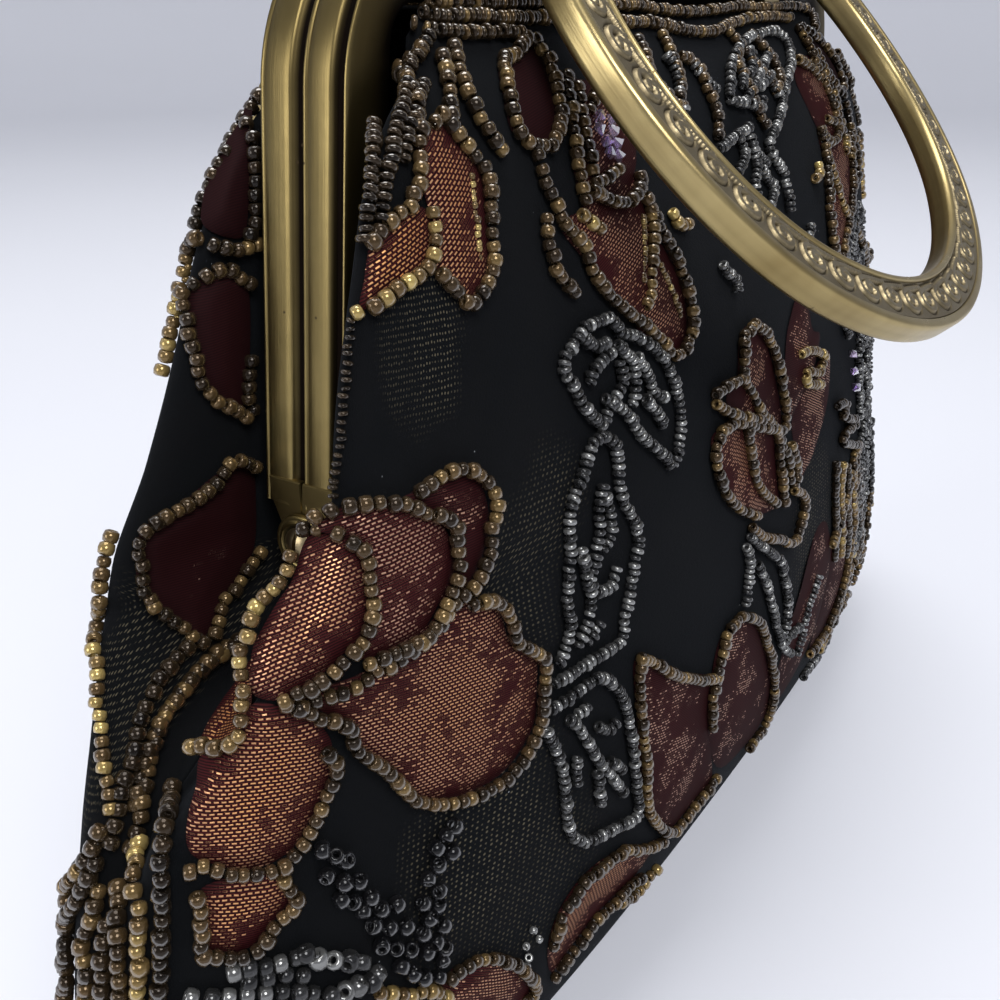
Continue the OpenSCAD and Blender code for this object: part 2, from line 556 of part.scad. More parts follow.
// Above the fold: the big open flower and the leaf's tip at both ends, then the curled petals by
// the left arm, the sprays under the handle and the long petal by the right arm.
upper_ring_shares = [
    [[0.365, 0.84], [0.375, 0.81], [0.39, 0.76], [0.41, 0.72], [0.428, 0.735], [0.43, 0.79], [0.428, 0.855],
        [0.405, 0.84], [0.385, 0.86]]];
upper_line_shares = [
    [[0.355, 0.715], [0.34, 0.73], [0.35, 0.75], [0.37, 0.745], [0.385, 0.725]]];
upper_single_line_shares = [
    [[0.24, 0.94], [0.27, 0.92], [0.3, 0.9], [0.32, 0.875], [0.32, 0.845], [0.31, 0.81], [0.29, 0.79], [0.24, 0.785]],
    [[0.24, 0.905], [0.25, 0.885], [0.24, 0.86], [0.225, 0.845]],
    [[0.28, 0.855], [0.27, 0.835], [0.25, 0.82], [0.225, 0.812]],
    [[0.365, 0.87], [0.345, 0.83], [0.345, 0.8], [0.355, 0.775]],
    [[0.392, 0.94], [0.392, 0.91], [0.37, 0.893], [0.35, 0.91], [0.35, 0.94]],
    [[0.41, 0.94], [0.41, 0.91], [0.408, 0.885]],
    [[0.475, 0.94], [0.468, 0.92], [0.47, 0.9]],
    [[0.49, 0.94], [0.49, 0.92], [0.488, 0.87]],
    [[0.52, 0.93], [0.52, 0.86], [0.5, 0.78]],
    [[0.79, 0.89], [0.77, 0.85], [0.76, 0.8], [0.755, 0.75], [0.77, 0.705], [0.81, 0.69]]];

// Below the fold, at both ends: a silver leaf and the end of the one above it, a heart-shaped
// petal, a petal near the base, clusters and rows by the seam. Then the petals by the left hinge,
// the flower and leaf under the handle, and the petals by the right hinge.
lower_ring_shares = [
    [[0.37, 0.445], [0.385, 0.45], [0.395, 0.41], [0.4, 0.34], [0.4, 0.275], [0.38, 0.285], [0.375, 0.37]],
    [[0.17, 0.41], [0.175, 0.37], [0.205, 0.36], [0.235, 0.375], [0.235, 0.405], [0.2, 0.4]]];
lower_line_shares = [
    [[0.365, 0.58], [0.37, 0.51], [0.37, 0.475], [0.39, 0.475], [0.405, 0.51], [0.41, 0.58]],
    [[0.388, 0.57], [0.387, 0.505]],
    [[0.335, 0.565], [0.35, 0.53], [0.355, 0.48], [0.35, 0.435], [0.335, 0.41], [0.31, 0.425], [0.29, 0.46],
        [0.27, 0.5], [0.24, 0.508]],
    [[0.42, 0.435], [0.418, 0.37], [0.418, 0.3], [0.435, 0.23], [0.45, 0.195], [0.47, 0.2]],
    [[0.26, 0.42], [0.28, 0.39], [0.3, 0.34], [0.3, 0.3]],
    [[0.335, 0.39], [0.325, 0.34], [0.325, 0.29]],
    [[0.33, 0.25], [0.35, 0.235], [0.365, 0.205]],
    [[0.17, 0.33], [0.21, 0.325], [0.25, 0.315], [0.28, 0.295]]];
lower_single_ring_shares = [
    [[0.47, 0.48], [0.49, 0.43], [0.505, 0.36], [0.512, 0.28], [0.5, 0.27], [0.483, 0.36]],
    [[0.445, 0.575], [0.45, 0.54], [0.47, 0.505], [0.49, 0.49], [0.49, 0.54], [0.475, 0.58]]];
lower_single_line_shares = [
    [[0.32, 0.58], [0.305, 0.565], [0.27, 0.545], [0.235, 0.537]],
    [[0.205, 0.58], [0.225, 0.57], [0.22, 0.557]],
    [[0.255, 0.485], [0.255, 0.46], [0.24, 0.435], [0.21, 0.425], [0.175, 0.435]],
    [[0.43, 0.42], [0.45, 0.365], [0.46, 0.4], [0.475, 0.36], [0.485, 0.28], [0.485, 0.19]],
    [[0.505, 0.54], [0.515, 0.495], [0.51, 0.455]],
    [[0.42, 0.2], [0.4, 0.235], [0.385, 0.22]],
    [[0.735, 0.58], [0.72, 0.56], [0.77, 0.545]]];
module upper_flowers() {
    for (flip = [false, true]) {
        strands(upper_ring_shares, flip, true);
        strands(upper_line_shares, flip);
    }
    strands(upper_single_line_shares);
}
module lower_flowers() {
    for (flip = [false, true]) {
        strands(lower_ring_shares, flip, true);
        strands(lower_line_shares, flip);
    }
    strands(lower_single_ring_shares, closed = true);
    strands(lower_single_line_shares);
}
module front_upper_flowers() color(bead_brown) upper_flowers();
module rear_upper_flowers() color(bead_brown) rotate([0, 0, 180]) upper_flowers();
module front_lower_flowers() color(bead_brown) lower_flowers();
module rear_lower_flowers() color(bead_brown) rotate([0, 0, 180]) lower_flowers();

// The border follows the frame: down one arm, and along under the top rail.
border_steps = 16;
border_rows = 2;
module border_beads() {
    for (row = [0 : border_rows - 1]) {
        z = body_h - soft_gap - bead_d * (row + 0.75) * 1.08;
        strand([for (i = [0 : border_steps]) [0.2 + 0.6 * i / border_steps, z]]);
    }
    low = hinge_h + frame_rise * 0.42;
    high = body_h - bead_d * (border_rows + 1.6);
    for (side = [0, 1], row = [0 : border_rows - 1])
        strand([for (i = [0 : 6]) let (s = 0.15 + row * 0.03, z = low + (high - low) * i / 6)
            [side == 0 ? s : 1 - s, z]]);
}
module front_border_beads() color(bead_dark) border_beads();
module rear_border_beads() color(bead_dark) rotate([0, 0, 180]) border_beads();

// The stems at each end run down beside the seam as a bundle of strands.
stem_strands = 4;
stem_steps = 10;
module end_stems() for (row = [0 : stem_strands - 1])
    strand([for (i = [0 : stem_steps]) let (u = i / stem_steps)
        [0.03 + row * 0.034 + 0.012 * sin(180 * u), hinge_h * (0.79 - 0.69 * u)]]);
module left_stem_beads() color(bead_brown) end_stems();
module right_stem_beads() color(bead_brown) rotate([0, 0, 180]) end_stems();

front_frame_rail();
rear_frame_rail();
left_hinge_screw();
right_hinge_screw();
left_hinge_nut();
right_hinge_nut();
front_clasp_ball();
rear_clasp_ball();
front_channel_cord();
rear_channel_cord();
front_handle_lugs();
rear_handle_lugs();
front_handle_pins();
rear_handle_pins();
front_handle_face();
rear_handle_face();
front_handle_back();
rear_handle_back();
front_handle_scrolls();
rear_handle_scrolls();
front_upper_panel();
rear_upper_panel();
front_fold_strip();
rear_fold_strip();
front_lower_panel();
rear_lower_panel();
base_panel();
base_board();
lower_lining();
front_upper_lining();
rear_upper_lining();
front_border_beads();
rear_border_beads();
front_upper_flowers();
rear_upper_flowers();
front_lower_flowers();
rear_lower_flowers();
left_stem_beads();
right_stem_beads();
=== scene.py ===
import math
import random

import bpy
import numpy as np
from mathutils import Matrix, Vector
from mathutils.bvhtree import BVHTree
from mathutils.geometry import delaunay_2d_cdt


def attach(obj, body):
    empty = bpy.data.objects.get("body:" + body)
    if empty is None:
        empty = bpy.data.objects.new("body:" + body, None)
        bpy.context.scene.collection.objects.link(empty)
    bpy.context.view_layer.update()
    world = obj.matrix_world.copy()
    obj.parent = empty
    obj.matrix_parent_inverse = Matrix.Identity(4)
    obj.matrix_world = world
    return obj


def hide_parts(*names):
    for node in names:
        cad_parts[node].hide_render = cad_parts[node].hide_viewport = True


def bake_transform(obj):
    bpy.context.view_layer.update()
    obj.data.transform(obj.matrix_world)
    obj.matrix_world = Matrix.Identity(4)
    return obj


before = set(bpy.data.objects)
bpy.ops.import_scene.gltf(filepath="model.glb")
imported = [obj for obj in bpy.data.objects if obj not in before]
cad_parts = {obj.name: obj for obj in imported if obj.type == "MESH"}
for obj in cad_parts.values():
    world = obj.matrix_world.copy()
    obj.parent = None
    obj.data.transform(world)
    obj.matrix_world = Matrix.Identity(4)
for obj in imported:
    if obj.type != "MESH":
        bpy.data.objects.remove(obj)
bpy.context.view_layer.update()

# The camera stands off the bag's left end, a little in front and above, and looks down along it.
# One picture point is one thousandth of the square picture's side.
picture_side = 1000
scene = bpy.context.scene
camera = bpy.data.objects.new("camera", bpy.data.cameras.new("camera"))
scene.collection.objects.link(camera)
scene.camera = camera
camera.data.lens = 39.85
camera.data.clip_start = 0.01
focal_points = camera.data.lens / camera.data.sensor_width * picture_side
heading, pitch, roll = math.radians(33.4), math.radians(23.81), math.radians(-0.3)
look = Vector((math.cos(pitch) * math.cos(heading), math.cos(pitch) * math.sin(heading), -math.sin(pitch)))
level_right = Vector((math.sin(heading), -math.cos(heading), 0))
level_up = level_right.cross(look)
right = level_right * math.cos(roll) + level_up * math.sin(roll)
up = level_up * math.cos(roll) - level_right * math.sin(roll)
eye = Vector((-0.19153, -0.09776, 0.16483))
camera.matrix_world = Matrix.Translation(eye) @ Matrix((right, up, -look)).transposed().to_4x4()

# The studio: a seamless pale paper floor that curves up far behind the bag, soft boxes above and at
# both sides, and a light grey room.
scene.view_settings.view_transform = "Standard"


def add_node(tree, kind, values=(), **settings):
    """A shader node with its settings, and with each input linked to a socket or given a value."""
    made = tree.nodes.new("ShaderNode" + kind)
    for key, value in settings.items():
        setattr(made, key, value)
    for key, value in dict(values).items():
        if isinstance(value, bpy.types.NodeSocket):
            tree.links.new(value, made.inputs[key])
        else:
            made.inputs[key].default_value = value
    return made


def mix_colours(tree, share, low, high):
    """The colour between two, by a share from 0 to 1."""
    return add_node(tree, "Mix", {"Factor": share, 6: low, 7: high}, data_type="RGBA").outputs[2]


def worked_out(tree, operation, *terms):
    """The result of a small sum in a shader."""
    return add_node(tree, "Math", dict(enumerate(terms)), operation=operation).outputs[0]


def rescaled(tree, value, low, high, to_low=0.0, to_high=1.0):
    """A value carried from one range into another, and held within it."""
    return add_node(tree, "MapRange", {"Value": value, 1: low, 2: high, 3: to_low, 4: to_high}).outputs[0]


def new_finish(name, **plain):
    """A material with its Principled shader, and plain values set on the shader's own sockets."""
    material = bpy.data.materials.new(name)
    material.use_nodes = True
    shader = material.node_tree.nodes["Principled BSDF"]
    for key, value in plain.items():
        shader.inputs[key.replace("_", " ")].default_value = value
    return material, material.node_tree, shader


def new_piece(name, points, faces, material, smooth=True):
    """A mesh object from points in millimetres."""
    mesh = bpy.data.meshes.new(name)
    mesh.from_pydata((np.asarray(points, float) * 0.001).tolist(), [], faces)
    mesh.polygons.foreach_set("use_smooth", [smooth] * len(mesh.polygons))
    mesh.materials.append(material)
    mesh.validate()
    piece = bpy.data.objects.new(name, mesh)
    scene.collection.objects.link(piece)
    return piece


def grid_faces(rows, cols, close=False):
    """Four-sided faces between rows of points, and round each row where it closes on itself."""
    last = cols if close else cols - 1
    return [(i * cols + j, i * cols + (j + 1) % cols, (i + 1) * cols + (j + 1) % cols, (i + 1) * cols + j)
            for i in range(rows - 1) for j in range(last)]


paper, tree, shader = new_finish("seamless_paper", Roughness=0.9)
light_path = add_node(tree, "LightPath")
paper_glow = 0.2
glow = worked_out(tree, "MULTIPLY", light_path.outputs["Is Camera Ray"], paper_glow)
shader.inputs["Emission Color"].default_value = (0.86, 0.88, 1.0, 1)
tree.links.new(glow, shader.inputs["Emission Strength"])
fibre = add_node(tree, "TexNoise", {"Scale": 9.0, "Detail": 3.0})
paper_tone = mix_colours(tree, fibre.outputs["Fac"], (0.60, 0.61, 0.655, 1), (0.64, 0.65, 0.69, 1))
tree.links.new(paper_tone, shader.inputs["Base Color"])
# radius and height of each ring of the floor
floor_rings = [(0, 0), (400, 0), (900, 0), (1500, 0), (2000, 0), (2260, 60), (2430, 210), (2500, 450),
               (2500, 1900)]
floor_sides = 96
floor_points = []
for radius, height in floor_rings:
    for i in range(floor_sides):
        turn = 2 * math.pi * i / floor_sides
        floor_points.append((radius * math.cos(turn), radius * math.sin(turn), height))
floor = new_piece("floor", floor_points, grid_faces(len(floor_rings), floor_sides, True), paper)

world = bpy.data.worlds.new("room")
scene.world = world
world.use_nodes = True
world.node_tree.nodes["Background"].inputs["Color"].default_value = (0.93, 0.95, 1, 1)
world.node_tree.nodes["Background"].inputs["Strength"].default_value = 0.42
for name, place, aim, size, power in [
        ("key_box", (-0.75, -0.9, 1.15), (0, 0, 0.08), 0.8, 15),
        ("top_box", (0.1, 0.15, 1.5), (0, 0, 0.1), 1.0, 12),
        ("end_box", (-1.3, 0.5, 0.5), (0, 0, 0.1), 0.7, 6)]:
    lamp = bpy.data.objects.new(name, bpy.data.lights.new(name, "AREA"))
    lamp.data.shape = "DISK"
    lamp.data.size = size
    lamp.data.energy = power
    lamp.location = place
    lamp.rotation_euler = (Vector(aim) - Vector(place)).to_track_quat("-Z", "Y").to_euler()
    scene.collection.objects.link(lamp)

# The pouch: two panels of black velvet, front and rear, cut full at the belly and drawn in to the
# frame, seamed at the ends below the hinges and stiffened so that they keep their round form.
body_h, half_l, half_depth, hinge_h = 166.0, 136.0, 38.5, 98.0
half_frame, flange_w, arm_lean, knuckle_r, cloth_gap = 92.5, 9.0, math.radians(6), 4.5, 0.3
# share of the height, then half length, half depth and squareness of the body there
sections = np.array([
    [0, 0.868, 0.623, 3], [0.048, 0.934, 0.753, 3], [0.108, 0.978, 0.87, 2.6], [0.199, 1, 0.974, 2.3],
    [0.319, 0.993, 1, 2], [0.47, 0.956, 0.961, 1.9], [0.59, 0.912, 0.884, 2.14],
    [0.669, 0.863, 0.829, 2.08], [0.759, 0.801, 0.751, 2.25], [0.861, 0.738, 0.589, 2.8],
    [0.922, 0.682, 0.467, 3.3], [0.964, 0.647, 0.325, 4], [1, 0.588, 0.164, 8]])
edge_inset, edge_ease_low, edge_ease_high = 7.1, 94.0, 102.0
seam_edge, edge_limit, crowding = 0.15, 0.86, 0.09
clear_of_flange, gather_share = cloth_gap * 1.3, 0.56
notch_reach = knuckle_r * 4.8


def section_at(z, column):
    """A smooth curve through one column of the table of sections."""
    h = sections[:, 0]
    slopes = np.gradient(sections[:, column])
    slopes[1:-1] = (sections[2:, column] - sections[:-2, column]) / (h[2:] - h[:-2])
    slopes[0] = (sections[1, column] - sections[0, column]) / (h[1] - h[0])
    slopes[-1] = (sections[-1, column] - sections[-2, column]) / (h[-1] - h[-2])
    share = np.clip(np.asarray(z, float) / body_h, 0, 1)
    i = np.clip(np.searchsorted(h, share, side="right") - 1, 0, len(h) - 2)
    span = h[i + 1] - h[i]
    u = (share - h[i]) / span
    return ((2 * u**3 - 3 * u**2 + 1) * sections[i, column] + (u**3 - 2 * u**2 + u) * span * slopes[i]
            + (3 * u**2 - 2 * u**3) * sections[i + 1, column] + (u**3 - u**2) * span * slopes[i + 1])


def flange_x(z):
    """How far out along X the frame's inner edge lies at a height."""
    drop = flange_w * 0.4
    return (half_frame - flange_w - np.maximum(z - hinge_h, 0) * math.tan(arm_lean)
            - drop * np.clip((z - body_h) / drop + 1, 0, 1) ** 2)


def cloth_at(s, z, inset=0.0):
    """Points of the front cloth in millimetres: s runs from 0 at the left end to 1 at the right."""
    s, z = np.broadcast_arrays(np.asarray(s, float), np.asarray(z, float))
    long, deep, n = half_l * section_at(z, 1), half_depth * section_at(z, 2), section_at(z, 3)
    ease = np.clip((z - edge_ease_low) / (edge_ease_high - edge_ease_low), 0, 1)
    ease = ease * ease * (3 - 2 * ease)
    edge = seam_edge + (np.minimum(edge_inset, deep * edge_limit) - seam_edge) * ease
    start = np.arcsin(np.clip((edge / (deep - inset)) ** (n / 2), 0, 1))
    t = start + (math.pi - 2 * start) * (s - np.sin(2 * math.pi * s) * crowding)
    x = (long - inset) * np.abs(np.cos(t)) ** (2 / n)
    y = (deep - inset) * np.abs(np.sin(t)) ** (2 / n)
    flat = np.where(z >= hinge_h - knuckle_r, edge_inset,
                    edge_inset * np.clip(1 - (hinge_h - knuckle_r - z) / notch_reach, 0, 1))
    at_hinge = 1 - (flange_x(hinge_h) - clear_of_flange) / (half_l * section_at(hinge_h, 1))
    depth = np.where(z >= hinge_h, 1 - (flange_x(z) - clear_of_flange) / long,
                     at_hinge * np.exp(-((hinge_h - z) / notch_reach) ** 2))
    beyond = np.maximum(np.maximum(y - inset, 0) - flat, 0)
    drawn = 1 - depth * np.exp(-(beyond / (edge_inset * gather_share)) ** 2)
    return np.stack([-np.sign(np.cos(t)) * x * drawn, -y, z], -1)


def flipped(faces):
    """The same faces, looking the other way."""
    return [tuple(reversed(f)) for f in faces]


def set_uv(piece, uv):
    """Gives each corner its point's UV, in millimetres."""
    layer = piece.data.uv_layers.new(name="along")
    loops = np.zeros(len(piece.data.loops), int)
    piece.data.loops.foreach_get("vertex_index", loops)
    layer.data.foreach_set("uv", np.asarray(uv, np.float32)[loops].ravel())


def set_value(piece, name, values):
    """Gives each point a value that the shaders read by its name."""
    attribute = piece.data.attributes.new(name, "FLOAT", "POINT")
    attribute.data.foreach_set("value", np.asarray(values, np.float32))


def turned(points):
    """Half a turn about the bag's upright axis, which carries the front over to the rear."""
    return np.asarray(points) * np.array([-1, -1, 1])


def new_group(name, takes, gives):
    """A node group with its inputs and outputs, and the two nodes that stand for them inside."""
    group = bpy.data.node_groups.new(name, "ShaderNodeTree")
    for socket, kind in takes:
        group.interface.new_socket(socket, in_out="INPUT", socket_type="NodeSocket" + kind)
    for socket in gives:
        group.interface.new_socket(socket, in_out="OUTPUT", socket_type="NodeSocketFloat")
    return group, group.nodes.new("NodeGroupInput"), group.nodes.new("NodeGroupOutput")


def rare_spots(tree, where, scale, low, high, seldom):
    """Small round spots in a few of a pattern's cells."""
    cells = add_node(tree, "TexVoronoi", {"Vector": where, "Scale": scale})
    spot = rescaled(tree, cells.outputs["Distance"], low, high)
    draw = add_node(tree, "TexWhiteNoise", {"Vector": cells.outputs["Color"]})
    return worked_out(tree, "MULTIPLY", spot, worked_out(tree, "GREATER_THAN", draw.outputs["Value"], seldom))


# the pile's softness, the broad lie of its nap, and the fine dust that velvet holds
pile, inside, outside = new_group("velvet_pile", [("Vector", "Vector")], ["Height", "Nap", "Dust"])
fine = add_node(pile, "TexNoise", {"Vector": inside.outputs[0], "Scale": 2.2, "Detail": 4.0,
                                   "Roughness": 0.7})
broad = add_node(pile, "TexNoise", {"Vector": inside.outputs[0], "Scale": 0.05, "Detail": 3.0})
dust = rare_spots(pile, inside.outputs[0], 0.28, 0.035, 0.02, 0.8)
pile.links.new(fine.outputs["Fac"], outside.inputs["Height"])
pile.links.new(broad.outputs["Fac"], outside.inputs["Nap"])
pile.links.new(dust, outside.inputs["Dust"])

velvet, tree, shader = new_finish("black_velvet", Roughness=0.95, Sheen_Weight=0.035, Sheen_Roughness=0.5,
                                  Specular_IOR_Level=0.08)
shader.inputs["Sheen Tint"].default_value = (0.35, 0.4, 0.5, 1)
uv = add_node(tree, "UVMap", uv_map="along")
nap = add_node(tree, "Group", node_tree=pile)
tree.links.new(uv.outputs[0], nap.inputs[0])
cloth_tone = mix_colours(tree, nap.outputs["Nap"], (0.0022, 0.003, 0.004, 1), (0.006, 0.006, 0.0065, 1))
dusted = mix_colours(tree, nap.outputs["Dust"], cloth_tone, (0.32, 0.34, 0.36, 1))
cells = add_node(tree, "TexVoronoi", {"Vector": uv.outputs[0], "Scale": 1.25, "Randomness": 0.22})
spot = rescaled(tree, cells.outputs["Distance"], 0.27, 0.16)
patch = add_node(tree, "Attribute", attribute_name="dotted")
spotted = worked_out(tree, "MULTIPLY", spot, patch.outputs["Fac"])
gauze = mix_colours(tree, spotted, dusted, (0.11, 0.095, 0.065, 1))
tree.links.new(gauze, shader.inputs["Base Color"])
bump = add_node(tree, "Bump", {"Strength": 0.5, "Distance": 0.0002, "Height": nap.outputs["Height"]})
tree.links.new(bump.outputs[0], shader.inputs["Normal"])

panel_cols, panel_rows, panel_top = 190, 150, body_h - 0.3
s_grid, z_grid = np.meshgrid(np.linspace(0, 1, panel_cols), np.linspace(0, panel_top, panel_rows))
panel_points = cloth_at(s_grid, z_grid)
# the cloth gives a little between its seams, in soft shallow dents that fade towards its edges
dent_depth, dent_fade, dent_end_fade = 0.35, 30, 0.12
dent = (dent_depth * np.sin(s_grid * 23 + z_grid * 0.045) * np.sin(z_grid * 0.052 + s_grid * 9)
        * np.clip(z_grid / dent_fade, 0, 1) * np.clip((panel_top - z_grid) / dent_fade, 0, 1)
        * np.clip(np.minimum(s_grid, 1 - s_grid) / dent_end_fade, 0, 1))
panel_points[:, :, 1] += dent
# the front's left end: place across, its reach, height, its reach, and the push along and across
presses = [(0.13, 0.085, 103, 15, 5.2, -1.2), (0.16, 0.1, 151, 11, -3.6, -0.6)]


def pressed(points, s, z):
    """The front's left end, pushed in a little beside the hinge and full below the frame's corner."""
    shift = np.zeros(points.shape)
    for at_s, s_reach, at_z, z_reach, along, across in presses:
        near = np.exp(-((s - at_s) / s_reach) ** 2) * np.exp(-((z - at_z) / z_reach) ** 2)
        shift[..., 0] += along * near
        shift[..., 1] += across * near
    return points + shift


front_points = pressed(panel_points, s_grid, z_grid)
panel_faces = grid_faces(panel_rows, panel_cols)
cloth_run, velvet_t = 330, 0.0014
panel_uv = np.stack([s_grid * cloth_run, z_grid], -1).reshape(-1, 2)
# where the pile is burnt out to a dotted ground: place across, height, half width, half height, strength
dotted_patches = [
    (0.83, 89, 0.03, 8, 0.8), (0.87, 81, 0.03, 9, 0.8), (0.345, 95, 0.025, 14, 0.6),
    (0.262, 130, 0.022, 11, 0.9), (0.235, 129, 0.02, 8, 0.45), (0.335, 59, 0.03, 14, 0.9),
    (0.362, 47, 0.03, 12, 0.5), (0.532, 68, 0.02, 15, 0.7), (0.426, 146, 0.012, 4, 0.9),
    (0.66, 95, 0.03, 14, 0.6), (0.67, 55, 0.035, 14, 0.8), (0.74, 128, 0.025, 10, 0.8)]
dotted = np.zeros(s_grid.shape)
patch_reach, patch_ease, patch_ripple = 1.25, 0.5, 0.12
for at_s, at_z, wide, tall, strength in dotted_patches:
    off = np.hypot((s_grid - at_s) / wide, (z_grid - at_z) / tall)
    off = off + patch_ripple * np.sin(s_grid * 160 + z_grid * 0.4)
    dotted = np.maximum(dotted, strength * np.clip((patch_reach - off) / patch_ease, 0, 1))
for side, points in [("front", front_points.reshape(-1, 3)), ("rear", turned(panel_points.reshape(-1, 3)))]:
    panel = new_piece(side + "_velvet", points, panel_faces, velvet)
    set_uv(panel, panel_uv)
    set_value(panel, "dotted", dotted.ravel())
    thick = panel.modifiers.new("thickness", "SOLIDIFY")
    thick.thickness = velvet_t
    thick.offset = -1
    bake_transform(panel)
    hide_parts(side + "_upper_panel", side + "_fold_strip", side + "_lower_panel")

# The base: the velvet turned under to a flat oval and glued over a stiff board of pressed pulp,
# which the bag stands on and which keeps the pouch's round form.
base_sides, base_squareness, base_inset = 160, 3.0, 0.2
base_turns = np.linspace(0, 2 * math.pi, base_sides, endpoint=False)
# share of the body's outline, and height, of each ring from the middle of the base outward
base_rings = [(0.05, 0.05), (0.5, 0.05), (0.9, 0.05), (0.985, 0.05), (1.0, 0.5), (1.0, 1.2)]


def oval_ring(share, z, inset):
    """A share of the body's own outline at a height, drawn in by an inset."""
    long = (half_l * section_at(z, 1) - inset) * share
    deep = (half_depth * section_at(z, 2) - inset) * share
    power = 2 / base_squareness
    return np.stack([np.sign(np.cos(base_turns)) * long * np.abs(np.cos(base_turns)) ** power,
                     np.sign(np.sin(base_turns)) * deep * np.abs(np.sin(base_turns)) ** power,
                     np.full(base_sides, z)], -1)


def oval_piece(name, rings, inset, material):
    """A flat oval of cloth, from rings and a cap over the middle one."""
    points = np.concatenate([oval_ring(share, z, inset) for share, z in rings])
    faces = flipped(grid_faces(len(rings), base_sides, True)) + [tuple(range(base_sides))]
    piece = new_piece(name, points, faces, material)
    set_uv(piece, points[:, :2])
    return piece


base = oval_piece("base_velvet", base_rings, base_inset, velvet)
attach(base, "pouch")
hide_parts("base_panel")

board, tree, shader = new_finish("pressed_board", Roughness=0.85)
pulp = add_node(tree, "TexNoise", {"Scale": 180.0, "Detail": 6.0})
board_tone = mix_colours(tree, pulp.outputs["Fac"], (0.16, 0.12, 0.08, 1), (0.28, 0.22, 0.15, 1))
tree.links.new(board_tone, shader.inputs["Base Color"])
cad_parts["base_board"].data.materials.clear()
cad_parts["base_board"].data.materials.append(board)

# The lining: dark satin, cut like the velvet but a little smaller, with a flat floor over the board.
# It is turned in with the velvet where the two go into the frame's channel.
satin, tree, shader = new_finish("lining_satin", Roughness=0.38, Specular_IOR_Level=0.6, Anisotropic=0.4)
uv = add_node(tree, "UVMap", uv_map="along")
threads = add_node(tree, "TexWave", {"Vector": uv.outputs[0], "Scale": 1.6, "Distortion": 0.6, "Detail": 2.0})
satin_tone = mix_colours(tree, threads.outputs["Fac"], (0.035, 0.027, 0.042, 1), (0.055, 0.044, 0.062, 1))
tree.links.new(satin_tone, shader.inputs["Base Color"])
bump = add_node(tree, "Bump", {"Strength": 0.3, "Distance": 0.0001, "Height": threads.outputs["Fac"]})
tree.links.new(bump.outputs[0], shader.inputs["Normal"])
lining_rows, lining_cols, lining_low, lining_inset = 60, 110, 3.7, 2.0
lining_run, lining_t, lining_wave = 300, 0.0006, 0.5
s_low, z_low = np.meshgrid(np.linspace(0, 1, lining_cols), np.linspace(lining_low, body_h - 0.6, lining_rows))
lining_points = cloth_at(s_low, z_low, lining_inset)
lining_points[:, :, 1] += lining_wave * np.sin(s_low * 41) * np.sin(z_low * 0.11) * np.clip(z_low / 40, 0, 1)
lining_faces = flipped(grid_faces(lining_rows, lining_cols))
front_lining = pressed(lining_points, s_low, z_low).reshape(-1, 3)
for side, points in [("front", front_lining), ("rear", turned(lining_points.reshape(-1, 3)))]:
    lining = new_piece(side + "_lining", points, lining_faces, satin)
    set_uv(lining, np.stack([s_low * lining_run, z_low], -1).reshape(-1, 2))
    thick = lining.modifiers.new("thickness", "SOLIDIFY")
    thick.thickness = lining_t
    thick.offset = -1
    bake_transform(lining)
    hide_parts(side + "_upper_lining", "lower_lining")
# share of the body's outline, and height above the lining's lower edge, of each ring of its floor
floor_lifts = [(0.02, 0.9), (0.5, 0.9), (0.9, 0.9), (0.99, 0.6), (0.99, 0.1)]
lining_floor = oval_piece("lining_floor", [(share, lining_low + lift) for share, lift in floor_lifts],
                          lining_inset, satin)
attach(lining_floor, "pouch")

# The frame: two halves of bent brass channel, polished, lacquered and aged. Each has a satin outer
# face, a rolled lip along the gap, a rabbet or a groove beside its edge, and a deep rounded flange.
aged, inside, outside = new_group("aged_metal", [("Vector", "Vector"), ("Scale", "Float")],
                                  ["Tarnish", "Streaks", "Pits"])
cloud = add_node(aged, "TexNoise", {"Vector": inside.outputs[0], "Scale": inside.outputs[1], "Detail": 5.0,
                                    "Roughness": 0.62})
tarnish = rescaled(aged, cloud.outputs["Fac"], 0.35, 0.68)
drawn_out = add_node(aged, "Mapping", {"Vector": inside.outputs[0], "Scale": (0.03, 4.0, 1.0)})
lines = add_node(aged, "TexNoise", {"Vector": drawn_out.outputs[0], "Scale": 1.0, "Detail": 4.0,
                                    "Roughness": 0.7})
pits = rare_spots(aged, inside.outputs[0], 0.35, 0.1, 0.04, 0.86)
aged.links.new(tarnish, outside.inputs["Tarnish"])
aged.links.new(lines.outputs["Fac"], outside.inputs["Streaks"])
aged.links.new(pits, outside.inputs["Pits"])


def brass_finish(name, bright, dull, dark, low_rough, high_rough, scale):
    """Aged brass: bright where it is rubbed, dull in clouds and dark in its pits, and darkened and roughened
    by each point's painted shade.
    """
    material, tree, shader = new_finish(name, Metallic=1.0)
    uv = add_node(tree, "UVMap", uv_map="along")
    age = add_node(tree, "Group", {1: scale}, node_tree=aged)
    tree.links.new(uv.outputs[0], age.inputs[0])
    # painted shade: a value on each point that darkens the brass where shade falls in grooves, gaps and on
    # flanges
    painted_shade = add_node(tree, "Attribute", attribute_name="painted_shade")
    clouded = mix_colours(tree, age.outputs["Tarnish"], bright, dull)
    shaded_colour = mix_colours(tree, painted_shade.outputs["Fac"], clouded, dark)
    pitted = mix_colours(tree, age.outputs["Pits"], shaded_colour, (0.05, 0.035, 0.02, 1))
    tree.links.new(pitted, shader.inputs["Base Color"])
    rough = rescaled(tree, age.outputs["Tarnish"], 0.0, 1.0, low_rough, high_rough)
    painted_shade_rough = 0.25
    rougher_in_shade = worked_out(tree, "MULTIPLY_ADD", painted_shade.outputs["Fac"], painted_shade_rough, rough)
    tree.links.new(rougher_in_shade, shader.inputs["Roughness"])
    relief = add_node(tree, "Bump", {"Strength": 0.25, "Distance": 0.0001, "Height": age.outputs["Streaks"]})
    tree.links.new(relief.outputs[0], shader.inputs["Normal"])
    return material


